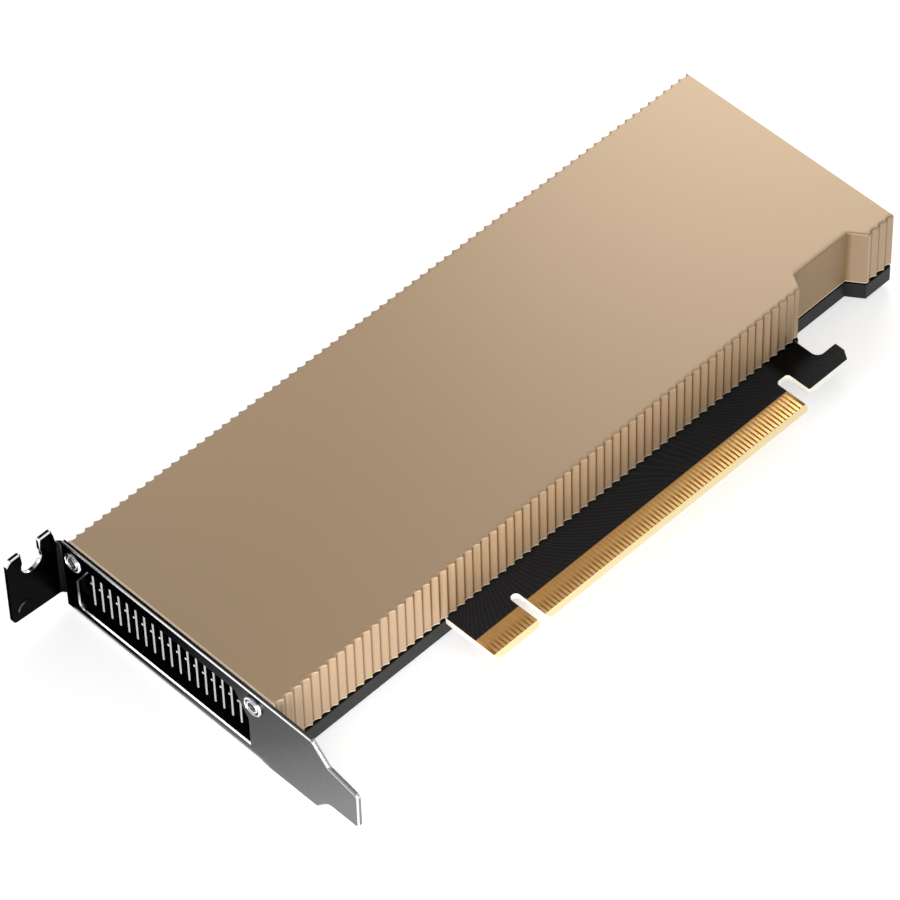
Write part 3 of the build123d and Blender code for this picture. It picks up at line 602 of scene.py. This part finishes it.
# The fins' side faces are painted dark grey, a painted shade between the close-set sheets; their
# cut ends keep the bright metal
fin_end_not_shaded = bright_fin.ranged(bright_fin.lean_to("X"), *fin_edge_lean)
bright_fin.repaint(bright_fin.mixed(fin_end_not_shaded, paint(84, 84, 86), bright_fin.colour))
fin_parts = []
for name, notched, nub, start, count in (
    ("fin_sheets_inner", False, True, 1, fin_count - 2),
    ("fin_sheet_near", True, True, 0, 1),
    ("fin_sheet_far", True, False, fin_count - 1, 1),
):
    fin_parts.append(grown(name, fin_sheet(notched, nub), row_tree, {
        "Count": count, "First": at(0, fin_first_row + start * fin_pitch, 0),
        "Step": (0.0, fin_pitch * MM, 0.0), "Rows": 1, "Material": bright_fin.material,
    }))
floor_shape = bmesh.new()
floor_low_y = fin_first_row + fin_thickness / 2
for number in range(fin_count - 1):
    gap_low = floor_low_y + number * fin_pitch
    gap_high = gap_low + fin_pitch - fin_thickness
    strip = [(fin_step, gap_low, fin_floor_low), (fin_end, gap_low, fin_floor_low),
             (fin_end, gap_low, fin_floor_high), (fin_step, gap_low, fin_floor_high)]
    prism(floor_shape, strip, (0, gap_high - gap_low, 0), 0)
bmesh.ops.translate(floor_shape, verts=floor_shape.verts, vec=datum)
floor_strips = placed("fin_floor", seed_mesh("fin_floor", floor_shape))
floor_strips.data.materials.append(bright_fin.material)
fin_parts.append(floor_strips)
for part in fin_parts:
    dress(part, "fin_metal", "fin_stack")

# Cover: one aluminium lid, satin bronze anodised, that goes down over the fins and is open at
# both ends for the air. Both long sides are cut with shallow concave flutes between narrow
# lands, apart from the plain recess near the far end. Two bosses inside take the bracket screws.
card_length = 167.65
cover_length = card_length - bracket_sheet
cover_width = 55.5
cover_bottom = 4.64
cover_face = 18.71
cover_ceiling = 17.81
cover_wall = 1.45
cover_round = 0.32
cover_foot = 0.15
flute_count = 76
flute_pitch = cover_length / flute_count
flute_depth = 0.5
flute_land = 0.16
flute_lean = 0.68
flute_steps = 8
recess_flutes = (64, 73)
recess_lead, recess_trail = 0.45, 0.6
recess_start = bracket_sheet + recess_flutes[0] * flute_pitch - recess_lead
recess_end = bracket_sheet + recess_flutes[1] * flute_pitch - recess_trail
recess_depth = 3.43
recess_near_run = 1.95
recess_far_run = 2.45

# The section across the lid, as (y, z, share of the flutes, share of the recess)
flat_start = 1.3
foot_rise = 0.6
brow_drop = 0.5
section = [
    (cover_wall, cover_bottom, 0, 1),
    (cover_foot, cover_bottom, 1, 1),
    (0, cover_bottom + cover_foot, 1, 1),
    (0, cover_bottom + foot_rise, 1, 1),
    (0, cover_face - cover_round - brow_drop, 1, 1),
]
for turn in (0, 30, 60, 90):
    section.append((
        cover_round * (1 - math.cos(math.radians(turn))),
        cover_face - cover_round * (1 - math.sin(math.radians(turn))), 1, 1,
    ))
section.append((flat_start, cover_face, 0, 1))
section += [(cover_width - y, z, -flutes, 0) for y, z, flutes, recess in reversed(section)]
section += [(cover_width - cover_wall, cover_ceiling, 0, 0), (cover_wall, cover_ceiling, 0, 1)]

section_shape = bmesh.new()
flute_share = section_shape.verts.layers.float.new("flute_share")
recess_share = section_shape.verts.layers.float.new("recess_share")
ring = []
for y, z, flutes, recess in section:
    corner = section_shape.verts.new(at(0, y, z))
    corner.co.x = 0
    corner[flute_share] = flutes
    corner[recess_share] = recess
    ring.append(corner)
section_shape.faces.new(ring)

cover_tree, given = geometry_tree("fluted_cover", {
    "Flutes": "Int", "Steps": "Int", "Corners": "Int", "Start": "Float", "Pitch": "Float",
    "Depth": "Float", "Land": "Float", "Recess start": "Float", "Recess end": "Float",
    "Recess depth": "Float", "Near run": "Float", "Far run": "Float", "First after": "Int",
    "Soft end": "Float", "Lean": "Float", "Material": "Material",
})


def cover_sum(operation, *values):
    """One Math node in the cover's tree."""
    return sum_up(cover_tree, operation, *values)


def cover_attribute(name):
    """A share that the section's points carry."""
    return wire(cover_tree, "GeometryNodeInputNamedAttribute", {"Name": name},
                data_type="FLOAT").outputs[0]


stations = cover_sum("MULTIPLY", given["Flutes"], cover_sum("ADD", given["Steps"], 2.0))
rows = cover_sum("ADD", stations, 1.0)
columns = cover_sum("ADD", given["Corners"], 1.0)
grid = wire(cover_tree, "GeometryNodeMeshGrid", {
    "Size X": 1.0, "Size Y": 1.0, "Vertices X": rows, "Vertices Y": columns,
}).outputs[0]
point_number = cover_tree.nodes.new("GeometryNodeInputIndex").outputs[0]
station = cover_sum("FLOOR", cover_sum("DIVIDE", cover_sum("ADD", point_number, 0.5), columns))
column = cover_sum("SUBTRACT", point_number, cover_sum("MULTIPLY", station, columns))
corner_number = cover_sum("MODULO", column, given["Corners"])


def from_section(value, kind):
    """A value of the section's point that this column of the grid follows."""
    inputs = {"Geometry": given["Seed"], "Value": value, "Index": corner_number}
    return wire(cover_tree, "GeometryNodeSampleIndex", inputs, data_type=kind).outputs[0]


# Where each station lies along the lid: a land, the steps of one flute, and the next land
per_flute = cover_sum("ADD", given["Steps"], 2.0)
flute = cover_sum("FLOOR", cover_sum("DIVIDE", cover_sum("ADD", station, 0.5), per_flute))
in_flute = cover_sum("SUBTRACT", station, cover_sum("MULTIPLY", flute, per_flute))
half_land = cover_sum("MULTIPLY", given["Land"], 0.5)
hollow = cover_sum("SUBTRACT", given["Pitch"], given["Land"])
run = cover_sum("DIVIDE", cover_sum("SUBTRACT", in_flute, 1.0), given["Steps"])
into_flute = cover_sum("MAXIMUM", 0.0, cover_sum("MULTIPLY_ADD", run, hollow, half_land))
along = cover_sum("ADD", given["Start"],
                  cover_sum("MULTIPLY_ADD", flute, given["Pitch"], into_flute))

# The station within about half a step of each bend of the recess moves onto the bend
step_reach = cover_sum("DIVIDE", hollow, cover_sum("MULTIPLY", given["Steps"], 1.99))
near_foot = cover_sum("ADD", given["Recess start"], given["Near run"])
far_foot = cover_sum("SUBTRACT", given["Recess end"], given["Far run"])
for bend in (given["Recess start"], near_foot, far_foot, given["Recess end"]):
    gap = cover_sum("ABSOLUTE", cover_sum("SUBTRACT", along, bend))
    close_by = cover_sum("LESS_THAN", gap, step_reach)
    along = wire(cover_tree, "ShaderNodeMix", {0: close_by, 2: along, 3: bend}).outputs[0]
section_point = wire(cover_tree, "ShaderNodeSeparateXYZ", {
    0: from_section(cover_tree.nodes.new("GeometryNodeInputPosition").outputs[0],
                    "FLOAT_VECTOR"),
}).outputs
drawn = wire(cover_tree, "ShaderNodeCombineXYZ", {
    "X": along, "Y": section_point["Y"], "Z": section_point["Z"],
}).outputs[0]
skin = wire(cover_tree, "GeometryNodeSetPosition", {"Geometry": grid, "Position": drawn})
skin = skin.outputs[0]
for name in ("flute_share", "recess_share"):
    skin = wire(cover_tree, "GeometryNodeStoreNamedAttribute", {
        "Geometry": skin, "Name": name, "Value": from_section(cover_attribute(name), "FLOAT"),
    }, data_type="FLOAT", domain="POINT").outputs[0]

# Both open ends are closed by the section itself, the metal's thickness showing as an arch
lid_end = cover_sum("MULTIPLY_ADD", given["Flutes"], given["Pitch"], given["Start"])
ends = []
for end in (given["Start"], lid_end):
    shift = wire(cover_tree, "ShaderNodeCombineXYZ", {"X": end}).outputs[0]
    ends.append(wire(cover_tree, "GeometryNodeTransform", {
        "Geometry": given["Seed"], "Translation": shift,
    }).outputs[0])
far_arch = wire(cover_tree, "GeometryNodeFlipFaces", {"Mesh": ends[1]}).outputs[0]
joined = cover_tree.nodes.new("GeometryNodeJoinGeometry")
for part in (skin, ends[0], far_arch):
    cover_tree.links.new(part, joined.inputs[0])

# The flutes and the recess push the near wall inwards, the flutes the far wall too
tolerance = 1e-6
seam = 2e-6
here = wire(cover_tree, "ShaderNodeSeparateXYZ", {
    0: cover_tree.nodes.new("GeometryNodeInputPosition").outputs[0],
}).outputs["X"]
from_start = cover_sum("SUBTRACT", here, given["Start"])
flute_here = cover_sum("FLOOR", cover_sum("DIVIDE", from_start, given["Pitch"]))
in_pitch = cover_sum("SUBTRACT", from_start, cover_sum("MULTIPLY", flute_here, given["Pitch"]))
share = cover_sum("DIVIDE", cover_sum("SUBTRACT", in_pitch, half_land), hollow)
share = cover_sum("MAXIMUM", 0.0, cover_sum("MINIMUM", 1.0, share))
flute_part = cover_attribute("flute_share")
far_side = cover_sum("LESS_THAN", flute_part, 0.0)
turned_share = cover_sum("ABSOLUTE", cover_sum("SUBTRACT", share, far_side))
leaning = cover_sum("POWER", turned_share, given["Lean"])
curve = cover_sum("MULTIPLY", leaning, cover_sum("SUBTRACT", 1.0, leaning))
sag = cover_sum("MULTIPLY", cover_sum("MULTIPLY", curve, 4.0), given["Depth"])
before = cover_sum("LESS_THAN", here, cover_sum("ADD", given["Recess start"], tolerance))
after_line = cover_sum("MULTIPLY_ADD", given["First after"], given["Pitch"], given["Start"])
after = cover_sum("GREATER_THAN", here, cover_sum("SUBTRACT", after_line, tolerance))
fluted_here = cover_sum("MAXIMUM", cover_sum("MAXIMUM", before, after), far_side)
near_rise = cover_sum("DIVIDE", cover_sum("SUBTRACT", here, given["Recess start"]),
                      given["Near run"])
far_rise = cover_sum("DIVIDE", cover_sum("SUBTRACT", given["Recess end"], here),
                     given["Far run"])
rise = cover_sum("MINIMUM", 1.0, cover_sum("MINIMUM", near_rise, far_rise))
rise = cover_sum("MAXIMUM", 0.0, rise)
recess_push = cover_sum("MULTIPLY", cover_sum("MULTIPLY", rise, given["Recess depth"]),
                        cover_attribute("recess_share"))
at_start = cover_sum("LESS_THAN", from_start, tolerance)
at_end = cover_sum("GREATER_THAN", here, cover_sum("SUBTRACT", lid_end, tolerance))
end_push = cover_sum("MULTIPLY", cover_sum("MAXIMUM", at_start, at_end), given["Soft end"])
flute_push = cover_sum("MULTIPLY", cover_sum("MULTIPLY_ADD", sag, fluted_here, end_push),
                       flute_part)
pushed = wire(cover_tree, "ShaderNodeCombineXYZ", {
    "Y": cover_sum("ADD", flute_push, recess_push),
}).outputs[0]
lid = wire(cover_tree, "GeometryNodeSetPosition", {
    "Geometry": joined.outputs[0], "Offset": pushed,
}).outputs[0]
lid = wire(cover_tree, "GeometryNodeMergeByDistance", {
    "Geometry": lid, "Distance": seam,
}).outputs[0]
end_tree(cover_tree, lid, given["Material"])

bronze = Finish("bronze_anodised_cover", paint(198, 168, 132), metallic=0.4, roughness=0.5,
                grain=5200, stir=0.03, spread=0.02, height=0.002, cloud=0.1)
bronze.set("Coat Weight", 0.6)
bronze.set("Coat Roughness", 0.35)
# A cream line is painted along the cover's near end and along the flutes' lower edges: a painted
# highlight
near_rim = (1.1, 1.2)
lower_rim = (4.9, 5.1)
painted_rim_highlight = bronze.either(bronze.between("X", *near_rim, 1.0, 0.0),
                           bronze.between("Z", *lower_rim, 1.0, 0.0))

# The steep start of each flute and the pressed recess are painted darker: painted shade from the
# flutes' cusps and in the recess
valley_start = (0.01, 0.05)
valley_end = (0.34, 0.5)
upright_lean = (0.3, 0.5)
flutes_reach = 0.62
recess_floor = (2.6, 3.3)
flute_phase = bronze.sum_up("SUBTRACT", bronze.along["X"], plane_at("X", bracket_sheet))
flute_phase = bronze.sum_up("FRACT", bronze.sum_up("DIVIDE", flute_phase, flute_pitch * MM))
steep = bronze.both(bronze.ranged(flute_phase, *valley_start),
                    bronze.ranged(flute_phase, *valley_end, 1.0, 0.0))
upright = bronze.ranged(bronze.lean_to("Z"), *upright_lean, 1.0, 0.0)
flute_valley_shade = bronze.both(bronze.both(steep, upright), bronze.short_of("Y", flutes_reach))
painted_shade_colour = bronze.mixed(flute_valley_shade, bronze.colour, paint(136, 88, 44))
cover_recess_shade = bronze.both(bronze.between("Y", *recess_floor), upright)
painted_shade_colour = bronze.mixed(cover_recess_shade, painted_shade_colour, paint(158, 124, 74))
highlighted_colour = bronze.mixed(painted_rim_highlight, painted_shade_colour, paint(255, 234, 204))

# The inside is painted near black, a painted shade that shows black behind the bracket's window
inner_wall_limit = -3.0
inner_roof_limit = -0.5
from_middle = bronze.sum_up("SUBTRACT", bronze.along["Y"], plane_at("Y", cover_width / 2))
inwards = bronze.sum_up("MULTIPLY", bronze.facing["Y"], from_middle)
inner_wall = bronze.sum_up("LESS_THAN", inwards, inner_wall_limit * MM)
inner_roof = bronze.sum_up("LESS_THAN", bronze.facing["Z"], inner_roof_limit)
painted_inside_shade = bronze.either(inner_wall, inner_roof)
bronze.repaint(bronze.mixed(painted_inside_shade, highlighted_colour, paint(22, 20, 18)))
soft_end = 0.1
smooth_below = 33
cover = grown("heatsink_cover_fluted", seed_mesh("cover_section", section_shape), cover_tree, {
    "Flutes": flute_count, "Steps": flute_steps, "Corners": len(section),
    "Start": datum.x + bracket_sheet * MM, "Pitch": flute_pitch * MM, "Depth": flute_depth * MM,
    "Land": flute_land * MM, "Recess start": plane_at("X", recess_start),
    "Recess end": plane_at("X", recess_end), "Recess depth": recess_depth * MM,
    "Near run": recess_near_run * MM, "Far run": recess_far_run * MM,
    "First after": recess_flutes[1], "Soft end": soft_end * MM, "Lean": flute_lean,
    "Material": bronze.material,
})
cover.data.polygons.foreach_set("use_smooth", [True] * len(cover.data.polygons))
cover.data.set_sharp_from_angle(angle=math.radians(smooth_below))
dress(cover, "bronze_anodised", "heatsink_cover")

# The bosses stand in the two upper corners behind the bracket, each with its threaded hole
boss_radius = 2.0
boss_length = 7.0
boss_hole = 1.03
screw_height = 15.25
screw_rows = (4.8, 53.15)
boss_steps = 6
hole_sides = 12
boss_shape = bmesh.new()
for row_y, wall_y, side in ((screw_rows[0], cover_wall, 1),
                            (screw_rows[1], cover_width - cover_wall, -1)):
    outline = [(wall_y, cover_ceiling), (wall_y, screw_height - boss_radius)]
    for number in range(boss_steps + 1):
        turn = math.radians(90 * number / boss_steps - 90)
        outline.append((row_y + side * boss_radius * math.cos(turn),
                        screw_height + boss_radius * math.sin(turn)))
    outline.append((row_y + side * boss_radius, cover_ceiling))
    hole = []
    for number in range(hole_sides):
        turn = math.radians(360 / hole_sides * number)
        hole.append((row_y + boss_hole * math.cos(turn),
                     screw_height + boss_hole * math.sin(turn)))
    loops = []
    for loop in (outline, hole):
        corners = [boss_shape.verts.new(at(bracket_sheet, y, z)) for y, z in loop]
        loops += [boss_shape.edges.new((corners[number - 1], corners[number]))
                  for number in range(len(corners))]
    filled = bmesh.ops.triangle_fill(boss_shape, use_beauty=True, edges=loops)["geom"]
    filled = [item for item in filled if isinstance(item, bmesh.types.BMFace)]
    drawn_out = bmesh.ops.extrude_face_region(boss_shape, geom=filled)["geom"]
    drawn_out = [item for item in drawn_out if isinstance(item, bmesh.types.BMVert)]
    bmesh.ops.translate(boss_shape, verts=drawn_out, vec=(boss_length * MM, 0, 0))
bmesh.ops.recalc_face_normals(boss_shape, faces=boss_shape.faces)
bosses = placed("cover_screw_bosses", seed_mesh("cover_screw_bosses", boss_shape))
bosses.data.materials.append(bronze.material)
dress(bosses, "bronze_anodised", "heatsink_cover")

# Clamp screws: four countersunk steel screws driven up from the back through tray and board
# into the brass posts. They pull the base plate down on the processor.
clamp_columns = (63.0, 105.0)
clamp_rows = (9.0, 49.0)
clamp_profile = [(1.05, -6.44), (1.25, -6.2), (1.25, -1.05), (2.18, -0.12), (2.3, -0.05),
                 (2.24, 0.0)]
screw_sides = 36
drive_lobes = 6
drive_middle, drive_swing = 0.86, 0.14
drive_taper = 0.92


def turned_screw(shape, profile, drive_radius, drive_depth):
    """Adds a round screw, given as (radius, height) rings from its tip to its face, with a
    six-lobed recess sunk in the face."""
    loops = []
    for radius, height in profile:
        loops.append([
            shape.verts.new(Vector((radius * math.cos(2 * math.pi * n / screw_sides),
                                    radius * math.sin(2 * math.pi * n / screw_sides),
                                    height)) * MM)
            for n in range(screw_sides)
        ])
    face_height = profile[-1][1]
    for depth, scale in ((0.0, 1.0), (drive_depth, drive_taper)):
        loop = []
        for n in range(screw_sides):
            turn = 2 * math.pi * n / screw_sides
            swing = drive_middle + drive_swing * math.cos(drive_lobes * turn)
            lobe = drive_radius * scale * swing
            loop.append(shape.verts.new(Vector((lobe * math.cos(turn), lobe * math.sin(turn),
                                                face_height - depth)) * MM))
        loops.append(loop)
    for lower, upper in zip(loops, loops[1:]):
        for n in range(screw_sides):
            after = (n + 1) % screw_sides
            shape.faces.new((lower[n], lower[after], upper[after], upper[n]))
    shape.faces.new(loops[-1])
    shape.faces.new(list(reversed(loops[0])))


clamp_shape = bmesh.new()
turned_screw(clamp_shape, clamp_profile, drive_radius=0.9, drive_depth=0.6)
bmesh.ops.rotate(clamp_shape, verts=clamp_shape.verts, matrix=Matrix.Rotation(math.pi, 3, "X"))
screw_steel = Finish("plated_screw_steel", paint(176, 178, 182), metallic=1.0, roughness=0.24,
                     grain=3000, stir=0.08, spread=0.05)
clamps = grown("clamp_screw_set", seed_mesh("clamp_screw", clamp_shape), row_tree, {
    "Count": 2, "First": at(clamp_columns[0], clamp_rows[0], 0),
    "Step": ((clamp_columns[1] - clamp_columns[0]) * MM, 0.0, 0.0), "Rows": 2,
    "Row step": (0.0, (clamp_rows[1] - clamp_rows[0]) * MM, 0.0),
    "Material": screw_steel.material,
})
dress(clamps, "screw_metal", "clamp_screws")

# Slot bracket: one folded steel sheet with a dark bright plating, its window cut for the air.
# It stands against the cover's end, where the two bracket screws hold it.
bracket_edge = 0.08
window_edge = 0.26
plating = Finish("plating_painted_reflection", paint(60, 61, 63), metallic=1.0, roughness=0.26, grain=1800,
                 stir=0.05, spread=0.03, height=0.001, cloud=0.2)
plating.set("Specular Tint", (0.4, 0.4, 0.4, 1.0))

# The plating's colour is painted from light grey at the tongue to black at the tab, slanting a
# little: a painted reflection
reflection_low, reflection_high = -11.0, 50.0
reflection_stops = [(0.0, 150), (0.2, 132), (0.33, 113), (0.52, 98), (0.62, 70), (0.8, 46), (1.0, 12)]
fleck_share = 0.02
tab_starts = (54.6, 56.6)
reflection_line = plating.sum_up("ADD", plating.along["Y"], plating.along["Z"])
reflection_share = plating.ranged(reflection_line, plane_at("Y", reflection_low) + datum.z,
                       plane_at("Y", reflection_high) + datum.z)
reflection_ramp = wire(plating.tree, "ShaderNodeValToRGB", {"Fac": reflection_share})
stops = reflection_ramp.color_ramp.elements
for number, (share, grey) in enumerate(reflection_stops):
    stop = stops[number] if number < 2 else stops.new(share)
    stop.position = share
    stop.color = paint(grey, grey, grey + 1)
flecks = plating.ranged(plating.fine, *noise_span, 0.0, fleck_share)
painted_reflection = plating.mixed(flecks, reflection_ramp.outputs["Color"], paint(150, 150, 152))
painted_reflection = plating.mixed(plating.between("Y", *tab_starts), painted_reflection, paint(33, 33, 34))
lean_starts = (0.15, 0.4)
lean_ends = (0.95, 0.99)


def slanted_from(axis):
    """The share of a face that leans away from an axis without turning right off it."""
    lean = plating.lean_to(axis)
    return plating.both(plating.ranged(lean, *lean_starts),
                        plating.ranged(lean, *lean_ends, 1.0, 0.0))


# Every rounded or broken edge is painted near white, a painted highlight, apart from the soft
# bend into the tab
bend_run = (54.2, 54.8)
bend_depth = (-2.2, -1.6)
off_tab = plating.between("Y", *bend_run, 1.0, 0.0)
off_bend = plating.between("X", *bend_depth, 1.0, 0.0)
upper = plating.either(off_tab, plating.sum_up("GREATER_THAN", plating.facing["Z"], 0.0))
painted_edge_highlight = plating.either(plating.both(slanted_from("Z"), upper),
                        plating.both(slanted_from("X"), plating.either(off_tab, off_bend)))

# The painted edge highlight is left off the tab's outer edge and mostly off the window's far
# corner
outer_edge, outer_height = -12.2, 20.3
corner_run, corner_rise, corner_top = (48, 51), (3.2, 6.5), 15.8
most_left_off = 0.9
outermost = plating.both(plating.short_of("X", outer_edge), plating.short_of("Z", outer_height))
far_corner = plating.both(plating.between("Y", *corner_run, 0.0, most_left_off),
                          plating.between("Z", *corner_rise))
far_corner = plating.both(far_corner, plating.short_of("Z", corner_top))
highlight_left_off = plating.either(outermost, plating.both(far_corner, off_tab))
painted_edge_highlight = plating.both(painted_edge_highlight, plating.sum_up("SUBTRACT", 1.0, highlight_left_off))

# A grey line is painted along the sheet's lowest edge beside the board, a painted highlight
low_line_rise, low_line_run = (0.5, 0.65), (1, 4)
painted_low_highlight = plating.both(off_tab, plating.between("Z", *low_line_rise, 1.0, 0.0))
painted_low_highlight = plating.both(painted_low_highlight, plating.between("Y", *low_line_run))
painted_reflection = plating.mixed(painted_low_highlight, painted_reflection, paint(160, 161, 164))
plating.repaint(plating.mixed(painted_edge_highlight, painted_reflection, paint(252, 252, 253)))

# What bounds the window and the ears in the sheet, to find their edges
window_run, window_rise, window_corner = (6, 53), (1, 15.2), 65.5
ear_foot, ear_height = 20.6, 21.0
on_face = 0.01
bracket_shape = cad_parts["io_bracket"].data
bracket_points = [(corner.co - datum) / MM for corner in bracket_shape.vertices]
tab_face = min(point.y for point in bracket_points if point.z > ear_height)


def in_front(edge):
    """Picks the window's edges and the ears' upper edges in the sheet's front faces."""
    places = [(corner.co - datum) / MM for corner in edge.verts]
    at_window = all(abs(p.x) < on_face and window_run[0] < p.y < window_run[1]
                    and window_rise[0] < p.z < window_rise[1] and p.y + p.z < window_corner
                    for p in places)
    at_ears = all(abs(p.y - tab_face) < on_face and p.z > ear_foot for p in places)
    return at_window or at_ears


softened("io_bracket", plating, bracket_edge, in_front, window_edge)

# Bracket screws: two low round-headed steel screws through the bracket into the cover's bosses,
# each with a broken rim, a shallow ring and a six-lobed recess.
head_profile = [(0.8, -6.5), (1.0, -6.3), (1.0, 0.0), (2.2, 0.0), (2.25, 0.08), (2.25, 0.36),
                (2.16, 0.56), (1.98, 0.68), (1.84, 0.7), (1.78, 0.5), (1.42, 0.5), (1.34, 0.66),
                (1.22, 0.7), (1.05, 0.62)]
head_rim_lean = (0.1, 0.3)
head_face_lean = (0.99, 0.998)
head_shape = bmesh.new()
turned_screw(head_shape, head_profile, drive_radius=0.95, drive_depth=0.4)
bmesh.ops.rotate(head_shape, verts=head_shape.verts, matrix=Matrix.Rotation(-math.pi / 2, 3, "Y"))
head_steel = Finish("polished_screw_steel", paint(178, 180, 184), metallic=1.0, roughness=0.2,
                    grain=3000, stir=0.05, spread=0.03)
# The slanted rims of the heads are painted near white, a painted highlight, and their flat faces
# near black, a painted dark reflection
head_lean = head_steel.lean_to("X")
head_painted_highlight = head_steel.mixed(head_steel.ranged(head_lean, *head_rim_lean),
                            head_steel.colour, paint(245, 246, 248))
head_dark_reflection_share = head_steel.ranged(head_lean, *head_face_lean)
head_steel.repaint(head_steel.mixed(head_dark_reflection_share, head_painted_highlight, paint(10, 10, 11)))
head_screws = grown("bracket_screw_pair", seed_mesh("bracket_screw", head_shape), row_tree, {
    "Count": 2, "First": at(0, screw_rows[0], screw_height),
    "Step": (0.0, (screw_rows[1] - screw_rows[0]) * MM, 0.0), "Rows": 1,
    "Material": head_steel.material,
})
dress(head_screws, "screw_metal", "bracket_screws")

# Studio: a plain white floor under an even dome. A large softbox over the far end is mirrored
# by the lid as a slow gradient, a low fill stands before the bracket, and three small softboxes
# draw the light along the broken edges around the bracket.
floor_drop = 0.0002
floor_reach = 4.0
floor_white = (0.8, 0.8, 0.8, 1)
lamp_white = (1, 1, 1, 1)
floor_glow = 0.65
dome_strength = 0.29
floor_mesh = bpy.data.meshes.new("studio_floor")
corners = [(-floor_reach, -floor_reach), (floor_reach, -floor_reach),
           (floor_reach, floor_reach), (-floor_reach, floor_reach)]
floor_mesh.from_pydata([(x, y, -floor_drop) for x, y in corners], [], [(0, 1, 2, 3)])
studio_floor = placed("studio_floor", floor_mesh)
floor_material = bpy.data.materials.new("studio_white")
floor_material.use_nodes = True
floor_tree = floor_material.node_tree
floor_tree.nodes.clear()
ray = floor_tree.nodes.new("ShaderNodeLightPath").outputs
seen = sum_up(floor_tree, "MAXIMUM", ray["Is Camera Ray"],
              sum_up(floor_tree, "MAXIMUM", ray["Is Glossy Ray"], ray["Is Transmission Ray"]))
matte = wire(floor_tree, "ShaderNodeBsdfDiffuse", {"Color": floor_white}).outputs[0]
glow = wire(floor_tree, "ShaderNodeEmission", {
    "Color": lamp_white, "Strength": sum_up(floor_tree, "MULTIPLY", seen, floor_glow),
}).outputs[0]
floor_sum = wire(floor_tree, "ShaderNodeAddShader", {0: matte, 1: glow}).outputs[0]
floor_out = floor_tree.nodes.new("ShaderNodeOutputMaterial")
floor_tree.links.new(floor_sum, floor_out.inputs["Surface"])
floor_mesh.materials.append(floor_material)

world = bpy.data.worlds.new("studio")
scene.world = world
world.use_nodes = True
sky = world.node_tree
sky.nodes.clear()
dome = wire(sky, "ShaderNodeBackground", {"Color": lamp_white, "Strength": dome_strength})
sky_out = sky.nodes.new("ShaderNodeOutputWorld")
sky.links.new(dome.outputs[0], sky_out.inputs["Surface"])


def softbox(name, place, aim, size, power, spread=180):
    """A square area light at a place, turned towards its aim."""
    lamp = bpy.data.lights.new(name, "AREA")
    lamp.shape = "SQUARE"
    lamp.size = size
    lamp.energy = power
    lamp.spread = math.radians(spread)
    holder = bpy.data.objects.new(name, lamp)
    holder.location = place
    holder.rotation_euler = (Vector(aim) - Vector(place)).to_track_quat("-Z", "Y").to_euler()
    holder.visible_camera = False
    scene.collection.objects.link(holder)


softbox("far_softbox", (0.23, 0.13, 0.17), (0.08, 0.01, 0.02), size=0.16, power=0.29)
softbox("near_fill", (-0.12, -0.15, 0.035), (-0.035, -0.018, 0.01), size=0.1, power=0.105,
        spread=110)
softbox("edge_light", (-0.37, 0.19, 0.165), (-0.07, 0.01, 0.015), size=0.18, power=0.18)
softbox("side_light", (-0.03, 0.11, 0.07), (-0.03, 0.03, 0.02), size=0.1, power=0.013)
softbox("ear_light", (0.036, -0.191, 0.174), (-0.08, 0.04, 0.02), size=0.08, power=0.018)

# Camera: a long lens above the bracket's connector side, at the photograph's angle
view_right = Vector((0.7065501479, -0.7073774559, -0.0201003321))
view_up = Vector((0.5499997599, 0.5310402988, 0.6445901528))
view_back = view_right.cross(view_up)
view_place = (-0.480013, -0.488601, 0.823102)
lens_length = 224.1008
sensor_width = 36.0
nearest_seen = 0.01
lens = bpy.data.cameras.new("camera")
lens.sensor_width = sensor_width
lens.lens = lens_length
lens.clip_start = nearest_seen
camera = bpy.data.objects.new("camera", lens)
turned = Matrix((view_right, view_up, view_back)).transposed().to_4x4()
camera.matrix_world = Matrix.Translation(view_place) @ turned
scene.collection.objects.link(camera)
scene.camera = camera
scene.view_settings.view_transform = "Standard"
